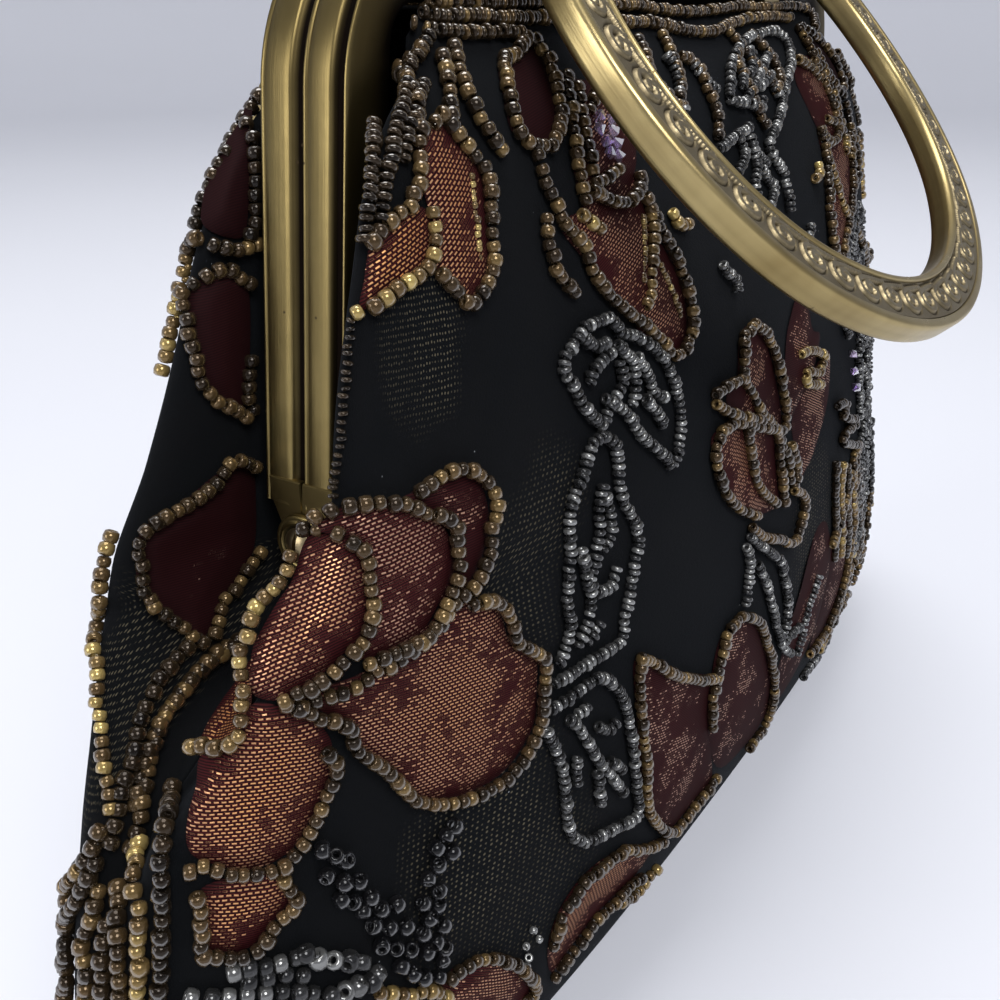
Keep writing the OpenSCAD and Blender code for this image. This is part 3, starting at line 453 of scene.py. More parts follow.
frame_brass = brass_finish("frame_brass", bright=(0.29, 0.22, 0.088, 1), dull=(0.125, 0.092, 0.036, 1),
                           dark=(0.006, 0.004, 0.003, 1), low_rough=0.27, high_rough=0.42, scale=0.022)
frame_rise, corner_r, inner_corner_r, foot_h, top_flange_w = 80.0, 24.0, 5.4, 5.2, 12.0
rolled_inset = 1.5
arm_steps, corner_steps, top_steps = 8, 26, 30
# the painted shade of the hinge's tongue and neck plates, and the angle past which edges stay sharp
plate_shade, sharp_angle = 0.15, 38


def rail_line(inset):
    """The frame's outline drawn in: x and height above the hinge, from the left foot to the right one."""
    share = min(max((inset - rolled_inset) / (flange_w - rolled_inset), 0), 1)
    top_inset = inset + (top_flange_w - flange_w) * share
    r = corner_r - inset - (corner_r - flange_w - inner_corner_r) * share
    lean_cos, lean_tan = math.cos(arm_lean), math.tan(arm_lean)
    corner_z = frame_rise - top_inset - r
    corner_x = half_frame - (inset + r) / lean_cos - corner_z * lean_tan
    foot = np.array([half_frame - inset / lean_cos - foot_h * lean_tan, foot_h])
    angles = np.linspace(arm_lean, math.pi / 2, corner_steps)
    corner = np.stack([corner_x + r * np.cos(angles), corner_z + r * np.sin(angles)], -1)
    arm = foot + (corner[0] - foot) * np.linspace(0, 1, arm_steps, endpoint=False)[:, None]
    side = np.concatenate([arm, corner])
    half_across, level = np.array([corner[-1][0], 0]), np.array([0, corner[-1][1]])
    across = np.linspace(1, -1, top_steps)[1:-1, None] * half_across + level
    return np.concatenate([side, across, (side * np.array([-1, 1]))[::-1]])[::-1]


def rail_mesh(profile):
    """A channel swept along the frame. The profile is distance from the middle plane, inset and painted
    shade.
    """
    lines = [rail_line(point[1]) for point in profile]
    stations, count = len(lines[0]), len(profile)
    points = np.array([[(lines[k][i][0], -profile[k][0], hinge_h + lines[k][i][1]) for k in range(count)]
                       for i in range(stations)])
    along = np.concatenate([[0], np.cumsum(np.linalg.norm(np.diff(lines[0], axis=0), axis=1))])
    wrap = np.array(profile)[:, :2]
    around = np.concatenate([[0], np.cumsum(np.linalg.norm(np.diff(wrap, axis=0), axis=1))])
    uv = np.stack(np.meshgrid(along, around, indexing="ij"), -1).reshape(-1, 2)
    faces = grid_faces(stations, count, True) + [tuple(range(count))] + [
        tuple(range((stations - 1) * count, stations * count))[::-1]]
    shade = np.tile([p[2] for p in profile], stations)
    return points.reshape(-1, 3), faces, uv, shade


def lathe(profile, segments, centre, side):
    """A turned piece on the hinge's axis: the profile is x and radius, and the painted shade of each ring."""
    turns = np.linspace(0, 2 * math.pi, segments, endpoint=False)
    points = np.array([[(side * x, centre[0] + r * math.cos(a), centre[1] + r * math.sin(a)) for a in turns]
                       for x, r, _ in profile]).reshape(-1, 3)
    faces = grid_faces(len(profile), segments, True)
    uv = np.array([[(r * a, r) for a in turns] for _, r, _ in profile]).reshape(-1, 2)
    return points, faces, uv, np.repeat([p[2] for p in profile], segments)


def plate(outline, low, high, side, edge=0.18):
    """A flat plate in the YZ plane between two distances out along X, with its edges eased."""
    outline = np.array(outline, float)
    centre = outline.mean(0)
    rings = []
    for x, drawn in [(low, edge), (low + edge, 0), (high - edge, 0), (high, edge)]:
        shrunk = centre + (outline - centre) * (1 - drawn / np.abs(outline - centre).max())
        rings.append([(side * x, y, z) for y, z in shrunk])
    count = len(outline)
    points = np.array(rings).reshape(-1, 3)
    faces = grid_faces(4, count, True) + [tuple(range(count))[::-1], tuple(range(3 * count, 4 * count))]
    return points, faces, points[:, 1:], np.full(len(points), plate_shade)


def joined(name, parts, material):
    """One piece of several meshes, with their UVs and painted shades."""
    points, faces, uvs, shades, start = [], [], [], [], 0
    for p, f, uv, shade in parts:
        points.append(np.asarray(p))
        faces += [tuple(start + k for k in face) for face in f]
        uvs.append(np.asarray(uv))
        shades.append(np.asarray(shade))
        start += len(p)
    piece = new_piece(name, np.concatenate(points), faces, material)
    set_uv(piece, np.concatenate(uvs))
    set_value(piece, "painted_shade", np.concatenate(shades))
    piece.data.set_sharp_from_angle(angle=math.radians(sharp_angle))
    return piece


# each profile: distance from the middle plane, inset from the frame's outline, and painted shade, darkest on
# the flanges, in the grooves and in the rear half's rabbet at the gap
front_profile = [
    (0.2, 7.6, 0.5), (0.2, 1.3, 0.6), (0.2, 0.45, 0.5), (0.24, 0.22, 0.1), (0.36, 0.06, 0), (0.55, 0.02, 0),
    (0.74, 0.08, 0.05), (0.86, 0.2, 0.35), (1.0, 0.2, 0.3), (1.2, 0.12, 0.05), (2.0, 0.03, 0),
    (3.2, 0.0, 0), (4.2, 0.04, 0.02), (4.55, 0.1, 0.1), (4.75, 0.25, 0.4), (4.92, 0.6, 0.9),
    (5.2, 0.98, 1.0), (5.7, 1.08, 1.0), (6.15, 1.02, 1.0), (6.36, 0.7, 0.9), (6.48, 0.4, 0.3),
    (6.62, 0.3, 0), (6.8, 0.34, 0.0), (6.93, 0.5, 0.15), (7.0, 0.85, 0.45), (7.02, 1.6, 0.5),
    (7.05, 3.0, 0.55), (7.05, 5.0, 0.75), (6.98, 7.0, 0.95), (6.8, 8.3, 1.0), (6.5, 8.85, 1.0),
    (6.15, 9.0, 1.0), (5.9, 8.8, 0.5), (5.8, 8.2, 0.6), (5.8, 1.7, 0.6), (1.2, 1.6, 0.6), (1.2, 7.4, 0.6),
    (0.9, 7.8, 0.5), (0.5, 7.9, 0.5)]
rear_profile = [
    (0.2, 7.6, 0.5), (0.2, 1.5, 1.0), (0.22, 1.05, 1.0), (0.4, 0.92, 1.0), (1.05, 0.9, 1.0),
    (1.5, 0.72, 0.75), (1.75, 0.4, 0.4), (1.86, 0.18, 0.1), (2.05, 0.08, 0), (2.8, 0.02, 0), (4.2, 0.0, 0),
    (5.4, 0.04, 0.02), (5.9, 0.14, 0.08), (6.15, 0.24, 0.3), (6.3, 0.16, 0.1), (6.5, 0.1, 0),
    (6.75, 0.16, 0), (6.92, 0.36, 0.05), (7.0, 0.8, 0.35), (7.02, 1.6, 0.5), (7.05, 3.0, 0.55),
    (7.05, 5.0, 0.75), (6.98, 7.0, 0.95), (6.8, 8.3, 1.0), (6.5, 8.85, 1.0), (6.15, 9.0, 1.0),
    (5.9, 8.8, 0.5), (5.8, 8.2, 0.6), (5.8, 1.7, 0.6), (1.2, 1.7, 0.6), (1.2, 7.4, 0.6), (0.9, 7.8, 0.5),
    (0.5, 7.9, 0.5)]
tongue_x, disc_x, sheet_t, disc_sides = 90.85, 91.95, 1.0, 72
neck_low, neck_high = disc_x - 1.3, disc_x - 0.05
# y and height above the hinge, round the front half's tongue and the rear half's neck
tongue = [(-0.2, 8.9), (-5.9, 8.9), (-5.9, 7.6), (-5.4, 6.2), (-4.6, 3.4), (-4.4, 0.8), (-3.9, -2.2),
          (-2.2, -3.9), (0, -4.4), (2.4, -3.8), (3.9, -2.1), (4.4, 0.2), (3.7, 2.4), (2.2, 3.7), (0.3, 4.3)]
neck = [(0.2, 3.9), (0.2, 8.9), (5.9, 8.9), (5.85, 7.0), (5.6, 5.4), (4.3, 2.2), (2.0, 2.4)]
# the hinge disc: distance out from its back, radius and painted shade
disc_profile = [(disc_x + out, radius, shade) for out, radius, shade in [
    (0, 1.25, 0.6), (0, 4.2, 0.6), (0.2, 4.45, 0.3), (0.6, 4.5, 0.15), (0.92, 4.36, 0.0), (1.02, 4.1, 0.1),
    (0.96, 3.9, 0.6), (0.98, 3.72, 0.5), (1.12, 3.56, 0.0), (1.16, 3.36, 0.0), (1.04, 3.16, 0.5),
    (0.96, 3.0, 0.9), (0.96, 1.25, 0.9)]]
for side_name, profile, y_sign in [("front", front_profile, 1), ("rear", rear_profile, -1)]:
    points, faces, uv, shade = rail_mesh(profile)
    points = points * np.array([1, y_sign, 1])
    if y_sign < 0:
        faces = flipped(faces)
    parts = [(points, faces, uv, shade)]
    for side in (-1, 1):
        if side_name == "front":
            parts.append(plate([(y, hinge_h + z) for y, z in tongue], tongue_x, tongue_x + sheet_t, side))
        else:
            parts.append(plate([(y, hinge_h + z) for y, z in neck], neck_low, neck_high, side))
            parts.append(lathe(disc_profile, disc_sides, (0, hinge_h), side))
    rail = joined(side_name + "_frame", parts, frame_brass)
    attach(rail, side_name + "_jaw")
    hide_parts(side_name + "_frame_rail")

# The paper cord: twisted kraft paper, pressed into the frame's channel over the turned-in cloth,
# so that the frame grips the velvet and the lining without stitches.
kraft, tree, shader = new_finish("kraft_paper", Roughness=0.9)
uv = add_node(tree, "UVMap", uv_map="along")
twist = add_node(tree, "TexWave", {"Vector": uv.outputs[0], "Scale": 0.5, "Distortion": 1.2, "Detail": 3.0},
                 bands_direction="DIAGONAL")
kraft_tone = mix_colours(tree, twist.outputs["Fac"], (0.22, 0.15, 0.09, 1), (0.38, 0.29, 0.19, 1))
tree.links.new(kraft_tone, shader.inputs["Base Color"])
cord_out, cord_in, cord_half_w, cord_half_h, cord_sides = 3.5, 4.2, 2.1, 2.2, 15
cord_profile = [(cord_out + cord_half_w * math.cos(a), cord_in + cord_half_h * math.sin(a), 0.0)
                for a in np.linspace(0, 2 * math.pi, cord_sides + 1)[:-1]]
for side_name, y_sign in [("front", 1), ("rear", -1)]:
    points, faces, uv, shade = rail_mesh(cord_profile)
    cord = new_piece(side_name + "_paper_cord", points * np.array([1, y_sign, 1]), faces, kraft)
    set_uv(cord, uv)
    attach(cord, side_name + "_jaw")
    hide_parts(side_name + "_channel_cord")

# Screws, nuts, lugs, pins and the clasp's two balls: small turned and sawn brass pieces, riveted or
# screwed to the frame. Their shapes are the frame's own; they take the brass finishes here.
dark_brass = brass_finish("dark_brass", bright=(0.42, 0.34, 0.20, 1), dull=(0.22, 0.16, 0.09, 1),
                          dark=(0.04, 0.03, 0.015, 1), low_rough=0.25, high_rough=0.4, scale=0.5)
small_brass = brass_finish("small_brass", bright=(0.60, 0.47, 0.24, 1), dull=(0.42, 0.32, 0.15, 1),
                           dark=(0.04, 0.03, 0.015, 1), low_rough=0.2, high_rough=0.35, scale=0.5)
dark_fittings = ["left_hinge_screw", "right_hinge_screw", "left_hinge_nut", "right_hinge_nut",
                 "front_handle_pins", "rear_handle_pins"]
bright_fittings = ["front_clasp_ball", "rear_clasp_ball", "front_handle_lugs", "rear_handle_lugs"]
for brass, fittings in [(dark_brass, dark_fittings), (small_brass, bright_fittings)]:
    for name in fittings:
        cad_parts[name].data.materials.clear()
        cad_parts[name].data.materials.append(brass)

# The ring handles: each is stamped in two shells, closed round its rim. The face has a smooth outer
# band, a recessed field with a running scroll in relief, greyed by age, and a round inner rim. Painted shade
# darkens the step down into the field, the grooves beside the scroll and the shells' sides.
handle_brass = brass_finish("handle_brass", bright=(0.58, 0.46, 0.22, 1), dull=(0.30, 0.22, 0.09, 1),
                            dark=(0.02, 0.015, 0.01, 1), low_rough=0.24, high_rough=0.4, scale=0.025)
relief_brass = brass_finish("relief_brass", bright=(0.40, 0.325, 0.19, 1), dull=(0.23, 0.185, 0.11, 1),
                            dark=(0.02, 0.014, 0.008, 1), low_rough=0.3, high_rough=0.45, scale=0.12)
# drawn flat, the ring is a low arc between two side arcs, and hangs from an eye at each end
ring_w, ring_t, ring_side_r, ring_side_x = 9.7, 5.0, 49.0, 12.0
ring_drop, ring_low_r, ring_low_y = 26.0, 69.0, -10.0
ring_joint, ring_tilt, pivot_y, pivot_z = math.radians(36.87), math.radians(40.7), 10.4, 176.9
eye_x = ring_side_x + math.sqrt((ring_side_r - ring_w / 2) ** 2 - ring_drop**2)
# the pivot eyes; the last value is their painted shade
eye_half_w, eye_r, bore_r, eye_low, eye_sides, eye_shade = 2.5, 2.5, 1.15, -1.6, 48, 0.1
ring_stop = math.asin((ring_drop - 3.6) / ring_side_r)
side_steps, low_steps, taper_steps = 420, 560, 9
left_turns = np.linspace(math.pi - ring_stop, 1.5 * math.pi - ring_joint, side_steps)
low_turns = np.linspace(1.5 * math.pi - ring_joint, 1.5 * math.pi + ring_joint, low_steps)[1:-1]
right_turns = np.linspace(1.5 * math.pi + ring_joint, 2 * math.pi + ring_stop, side_steps)
ring_arcs = [(left_turns, -ring_side_x, -ring_drop, ring_side_r), (low_turns, 0, ring_low_y, ring_low_r),
             (right_turns, ring_side_x, -ring_drop, ring_side_r)]
taper = np.linspace(1, 0, taper_steps)[:-1, None]
taper = taper * taper * (3 - 2 * taper)


def ring_edge(drawn_in, eye_edge):
    """One edge of the ring: its three arcs, drawn in, and a taper up to the eye at each end."""
    edge = np.concatenate([np.stack([x + (r - drawn_in) * np.cos(a), y + (r - drawn_in) * np.sin(a)], -1)
                           for a, x, y, r in ring_arcs])
    left = edge[0] + (np.array([eye_edge, eye_low]) - edge[0]) * taper
    return np.concatenate([left, edge, (left * np.array([-1, 1]))[::-1]])


outer_line = ring_edge(0, -eye_x - eye_half_w)
inner_line = ring_edge(ring_w, -eye_x + eye_half_w)
mid_line = (outer_line + inner_line) / 2
ring_run = np.concatenate([[0], np.cumsum(np.linalg.norm(np.diff(mid_line, axis=0), axis=1))])

# one scroll of the band: an eye, a spiral that opens round it, and a tail under the next scroll
scroll_pitch, spiral_start_r, spiral_opening, spiral_start_turn = 6.7, 0.12, 2.1, 1.3
spiral_wide, spiral_tall, spiral_turns, spiral_steps = 1.18, 0.98, 2.75 * math.pi, 60
tail_reach, tail_drop, tail_sag, tail_steps = scroll_pitch * 0.78, -2.25, 1.2, 16
turns = np.linspace(0, spiral_turns, spiral_steps)
spiral_r = spiral_start_r + spiral_opening * (turns / turns[-1]) ** 0.9
spiral = np.stack([spiral_wide * spiral_r * np.cos(turns + spiral_start_turn),
                   spiral_tall * spiral_r * np.sin(turns + spiral_start_turn)], -1)
tail_u = np.linspace(0, 1, tail_steps)[1:, None]
tail_end = np.array([tail_reach, tail_drop])
tail_bend = spiral[-1] + np.array([1.0, -0.9]) * tail_sag
tail = (1 - tail_u) ** 2 * spiral[-1] + 2 * tail_u * (1 - tail_u) * tail_bend + tail_u**2 * tail_end
scroll_line = np.concatenate([spiral, tail])
ridge_half_w, ridge_ease, groove_place, groove_half_w = 0.58, 0.26, 0.78, 0.3


def scroll_relief(run, across):
    """The scrolls' raised line and the grooves beside it, from 0 to 1, along and across the field. The
    grooves take painted shade.
    """
    place = run - np.floor(run / scroll_pitch) * scroll_pitch
    away = np.full(place.shape, 9.0)
    for shift in (-scroll_pitch, 0.0, scroll_pitch, 2 * scroll_pitch):
        for cu, cv in scroll_line:
            away = np.minimum(away, np.hypot(place - scroll_pitch / 2 + shift - cu, across - cv))
    ridge = np.clip((ridge_half_w - away) / ridge_ease, 0, 1)
    groove = np.clip(1 - np.abs(away - groove_place) / groove_half_w, 0, 1)
    return ridge * ridge * (3 - 2 * ridge), groove * (1 - ridge)


field_low, field_high, field_mid, half_t = 0.2, 0.85, 0.525, ring_t / 2
scroll_start, scroll_ease, ridge_h, ground_h, groove_h = 9.0, 2.0, 0.62, 0.34, 0.05
lip_low, lip_high = 0.016, 0.01
# the shell's face and back across the ring: share of its width, share of its half thickness, and painted
# shade
face_shares = ([(0, 0.0, 0.1), (0, 0.3, 0), (0, 0.6, 0), (0.008, 0.8, 0), (0.03, 0.92, 0), (0.06, 0.985, 0),
                (0.1, 1.0, 0), (0.15, 1.01, 0), (0.175, 0.98, 0.1), (0.187, 0.88, 0.6), (0.195, 0.8, 0.8)]
               + [(x, 0.77, 0.9) for x in np.linspace(field_low, field_high, 40)]
               + [(0.857, 0.84, 0.7), (0.87, 0.95, 0.2), (0.885, 1.02, 0), (0.91, 1.06, 0), (0.94, 1.02, 0),
                  (0.965, 0.94, 0), (0.985, 0.82, 0), (1.0, 0.66, 0.1), (1.0, 0.3, 0.2), (1.0, 0.0, 0.3)])
back_shares = [(1.0, 0.0, 0.3), (1.0, -0.35, 0.1), (1.0, -0.6, 0), (0.985, -0.74, 0), (0.95, -0.86, 0),
               (0.88, -0.94, 0), (0.7, -0.99, 0), (0.5, -1.0, 0), (0.3, -0.99, 0), (0.12, -0.94, 0),
               (0.05, -0.86, 0), (0.015, -0.74, 0), (0, -0.6, 0), (0, -0.35, 0), (0, 0.0, 0.1)]


def hang(flat):
    """Places points drawn flat on the ring: hung from the pivots and tilted out from the front."""
    x, y, z = flat[..., 0], flat[..., 1], flat[..., 2]
    return np.stack([x, -pivot_y - z * math.cos(ring_tilt) + y * math.sin(ring_tilt),
                     pivot_z + z * math.sin(ring_tilt) + y * math.cos(ring_tilt)], -1)


def ring_shell(shares, relief):
    """One stamped shell of the ring, with its UVs and painted shades. The face's field carries the scrolls.
    """
    shares = np.array(shares)
    share, height, shade = shares[:, 0], shares[:, 1] * half_t, shares[:, 2].copy()
    flat = outer_line[:, None, :] + (inner_line - outer_line)[:, None, :] * share[None, :, None]
    heights = np.tile(height, (len(outer_line), 1))
    shades = np.tile(shade, (len(outer_line), 1))
    if relief:
        run = np.tile(ring_run[:, None], (1, len(share)))
        across = np.tile((field_mid - share)[None, :] * ring_w, (len(outer_line), 1))
        fade = np.clip((np.minimum(run, ring_run[-1] - run) - scroll_start) / scroll_ease, 0, 1)
        inside_field = ((share >= field_low) & (share <= field_high))[None, :]
        ridge, groove = scroll_relief(run, across)
        ground = 1 - ridge - groove
        raised = fade * (ridge_h * ridge + ground_h * ground + groove_h * groove)
        heights = heights + np.where(inside_field, raised, 0)
        # the field's painted shade: heavy in the grooves, light on the ground, and even where the scrolls
        # fade out
        shades = np.where(inside_field, fade * (groove * 0.92 + ground * 0.22) + (1 - fade) * 0.2, shades)
    points = np.concatenate([flat, heights[..., None]], -1)
    uv = np.stack(np.broadcast_arrays(ring_run[:, None], (share * ring_w)[None, :] + heights * 0.5), -1)
    return points, grid_faces(len(outer_line), len(share)), uv.reshape(-1, 2), shades.reshape(-1)


def pivot_eye(side):
    """A rolled eye round the pin, drawn flat like the ring."""
    profile = [(-eye_half_w, bore_r), (-eye_half_w, eye_r - 0.35), (-eye_half_w + 0.12, eye_r - 0.1),
               (-eye_half_w + 0.35, eye_r), (eye_half_w - 0.35, eye_r), (eye_half_w - 0.12, eye_r - 0.1),
               (eye_half_w, eye_r - 0.35), (eye_half_w, bore_r), (-eye_half_w, bore_r)]
    turns = np.linspace(0, 2 * math.pi, eye_sides, endpoint=False)
    points = np.array([[(side * eye_x + x, r * math.cos(a), r * math.sin(a)) for a in turns]
                       for x, r in profile])
    uv = np.array([[(r * a, x) for a in turns] for x, r in profile])
    faces = flipped(grid_faces(len(profile), eye_sides, True))
    return points.reshape(-1, 3), faces, uv.reshape(-1, 2), np.full(len(profile) * eye_sides, eye_shade)


for side_name in ("front", "rear"):
    place = hang if side_name == "front" else (lambda flat: turned(hang(flat)))
    for part, shares, nodes in [("face", face_shares, ["_handle_face", "_handle_scrolls"]),
                                ("back", back_shares, ["_handle_back"])]:
        points, faces, uv, shade = ring_shell(shares, part == "face")
        parts = [(place(points).reshape(-1, 3), faces, uv, shade)]
        if part == "face":
            for side in (-1, 1):
                eye_points, *eye_rest = pivot_eye(side)
                parts.append((place(eye_points), *eye_rest))
        shell = joined(f"{side_name}_handle_{part}_shell", parts, handle_brass)
        if part == "face":
            shell.data.materials.append(relief_brass)
            cols = len(face_shares)
            in_field = [i for i, (x, _, _) in enumerate(face_shares)
                        if field_low - lip_low <= x <= field_high + lip_high]
            slots = np.zeros(len(shell.data.polygons), np.int32)
            quads = (len(outer_line) - 1) * (cols - 1)
            column = np.arange(quads) % (cols - 1)
            slots[:quads] = (column >= in_field[0]) & (column < in_field[-1])
            shell.data.polygons.foreach_set("material_index", slots)
        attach(shell, side_name + "_handle")
        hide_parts(*[side_name + node for node in nodes])

# The petals are cut from maroon cloth shot with flat copper thread, laid over the velvet and caught
# down under their beads. Each is drawn on the picture, carried to the cloth and cupped a little.
tree_points = np.concatenate([front_points.reshape(-1, 3), turned(panel_points.reshape(-1, 3))])
rear_start = len(tree_points) // 2
tree_faces = panel_faces + [tuple(rear_start + k for k in f) for f in panel_faces]
cloth_tree = BVHTree.FromPolygons([tuple(p) for p in tree_points], tree_faces)
eye_mm = eye * 1000
picture_mid = picture_side / 2


def sight(px, py):
    """The unit line of sight through a picture point."""
    ray = look + right * ((px - picture_mid) / focal_points) - up * ((py - picture_mid) / focal_points)
    return ray.normalized()


def outward(point, normal):
    """The cloth's normal, turned to look away from the bag's middle."""
    return -normal if normal.dot(Vector((point.x, point.y, 0.0))) < 0 else normal


near_reach, far_reach, reach_step, curve_steps = 60, 420, 3, 12


def on_cloth(px, py):
    """The cloth's point and normal behind a picture point, or the nearest ones just past its edge."""
    ray = sight(px, py)
    point, normal, _, distance = cloth_tree.ray_cast(eye_mm, ray)
    if point is None:
        tried = [eye_mm + ray * reach for reach in range(near_reach, far_reach, reach_step)]
        point, normal, _, distance = min(map(cloth_tree.find_nearest, tried), key=lambda hit: hit[3])
    return point, outward(point, normal)


def smooth_line(points, step, closed=False):
    """A smooth curve through points, with places a step apart."""
    points = np.asarray(points, float)
    if closed:
        ring = np.concatenate([points[-1:], points, points[:2]])
    else:
        ring = np.concatenate([2 * points[:1] - points[1:2], points, 2 * points[-1:] - points[-2:-1]])
    u = np.linspace(0, 1, curve_steps, endpoint=False)[:, None]
    fine = []
    for i in range(1, len(ring) - 2):
        a, b, c, d = ring[i - 1:i + 3]
        fine.append(0.5 * (2 * b + (c - a) * u + (2 * a - 5 * b + 4 * c - d) * u**2
                           + (3 * b - a - 3 * c + d) * u**3))
    fine = np.concatenate(fine + [ring[-2:-1]])
    length = np.concatenate([[0], np.cumsum(np.linalg.norm(np.diff(fine, axis=0), axis=1))])
    count = max(int(round(length[-1] / step)), 1)
    places = np.linspace(0, length[-1], count if closed else count + 1, endpoint=not closed)
    return np.stack([np.interp(places, length, fine[:, k]) for k in range(fine.shape[1])], -1)


def within(outline, spots):
    """Which spots lie inside a closed outline, and how far each is from it."""
    a, b = outline, np.roll(outline, -1, axis=0)
    x, y = spots[:, 0, None], spots[:, 1, None]
    rises = (a[:, 1] > y) != (b[:, 1] > y)
    run = (b[:, 0] - a[:, 0]) * (y - a[:, 1]) / np.where(b[:, 1] == a[:, 1], 1, b[:, 1] - a[:, 1]) + a[:, 0]
    inside = (rises & (x < run)).sum(1) % 2 == 1
    away = np.hypot(x - outline[:, 0], y - outline[:, 1]).min(1)
    return inside, away


def grid_round(outline, margin, step):
    """Evenly spaced picture points over an outline and a margin round it."""
    low, high = outline.min(0) - margin, outline.max(0) + margin
    across, down = np.arange(low[0], high[0], step), np.arange(low[1], high[1], step)
    return np.stack(np.meshgrid(across, down), -1).reshape(-1, 2)


sheet_margin, sheet_step, near_outline = 12, 9.0, 10
nearest_share, nearest_slack, fit_rounds, fit_slack = 45, 14, 4, 5.0


def reach_surface(outline):
    """A smooth sheet over the cloth's hollows behind an outline, as a reach along each line of sight."""
    grid = grid_round(outline, sheet_margin, sheet_step)
    inside, away = within(outline, grid)
    spots, reaches = [], []
    for x, y in np.concatenate([grid[inside | (away < near_outline)], outline[::2]]):
        point, _, _, distance = cloth_tree.ray_cast(eye_mm, sight(x, y))
        if point is not None:
            spots.append((x, y))
            reaches.append(distance)
    spots, reaches = np.array(spots), np.array(reaches)
    centre, size = outline.mean(0), max(np.ptp(outline, axis=0).max() / 2, 1)

    def terms(at):
        u, v = ((np.asarray(at, float) - centre) / size).T
        return np.stack([np.ones_like(u), u, v, u * u, u * v, v * v], -1)

    keep = reaches < np.percentile(reaches, nearest_share) + nearest_slack
    for _ in range(fit_rounds):
        shape = np.linalg.lstsq(terms(spots[keep]), reaches[keep], rcond=None)[0]
        off = reaches - terms(spots) @ shape
        keep = np.abs(off - np.median(off[keep])) < fit_slack
    return lambda at: terms(at) @ shape


lame, tree, shader = new_finish("copper_lame", Metallic=0.0, Roughness=0.62, Specular_IOR_Level=0.08)
uv = add_node(tree, "UVMap", uv_map="along")
wave = add_node(tree, "TexNoise", {"Vector": uv.outputs[0], "Scale": 0.35, "Detail": 2.0})
drift = add_node(tree, "VectorMath", {0: wave.outputs["Color"], 1: (0.5, 0.5, 0.5)}, operation="SUBTRACT")
drift = add_node(tree, "VectorMath", {0: drift.outputs[0], 3: 0.5}, operation="SCALE")
threads = add_node(tree, "VectorMath", {0: uv.outputs[0], 1: drift.outputs[0]}, operation="ADD")
dashes = add_node(tree, "TexBrick", {
    "Vector": threads.outputs[0], "Color1": (0, 0, 0, 1), "Color2": (1, 1, 1, 1), "Scale": 1.0,
    "Mortar Size": 0.18, "Mortar Smooth": 0.3, "Bias": 0.0, "Brick Width": 0.85, "Row Height": 0.5},
    offset=0.5, offset_frequency=2)
metal = add_node(tree, "Attribute", attribute_name="metal")
warmth = add_node(tree, "Attribute", attribute_name="warmth")
clouds = add_node(tree, "TexNoise", {"Vector": uv.outputs[0], "Scale": 0.14, "Detail": 1.5})
cloud_share = rescaled(tree, clouds.outputs["Fac"], 0.32, 0.7, 0.0, 0.58)
chance = worked_out(tree, "MULTIPLY_ADD", dashes.outputs["Color"], 0.44, cloud_share)
shown = worked_out(tree, "LESS_THAN", chance, metal.outputs["Fac"])
bare = worked_out(tree, "SUBTRACT", 1.0, dashes.outputs["Fac"])
thread_mask = worked_out(tree, "MULTIPLY", shown, bare)
weft = add_node(tree, "TexWave", {"Vector": uv.outputs[0], "Scale": 0.95, "Distortion": 0.4},
                bands_direction="Y")
depth = rescaled(tree, metal.outputs["Fac"], 0.0, 0.5, 0.18, 1.0)
ribs = worked_out(tree, "MULTIPLY", weft.outputs["Fac"], depth)
ground = mix_colours(tree, ribs, (0.006, 0.0015, 0.002, 1), (0.05, 0.007, 0.008, 1))
thread_tone = mix_colours(tree, warmth.outputs["Fac"], (0.42, 0.26, 0.21, 1), (0.74, 0.36, 0.14, 1))
tree.links.new(mix_colours(tree, thread_mask, ground, thread_tone), shader.inputs["Base Color"])
thread_metal, ground_rough, thread_rough = 0.75, 0.75, 0.36
tree.links.new(worked_out(tree, "MULTIPLY", thread_mask, thread_metal), shader.inputs["Metallic"])
gloss = rescaled(tree, thread_mask, 0.0, 1.0, ground_rough, thread_rough)
tree.links.new(gloss, shader.inputs["Roughness"])
bump = add_node(tree, "Bump", {"Strength": 0.5, "Distance": 0.00012, "Height": thread_mask})
tree.links.new(bump.outputs[0], shader.inputs["Normal"])

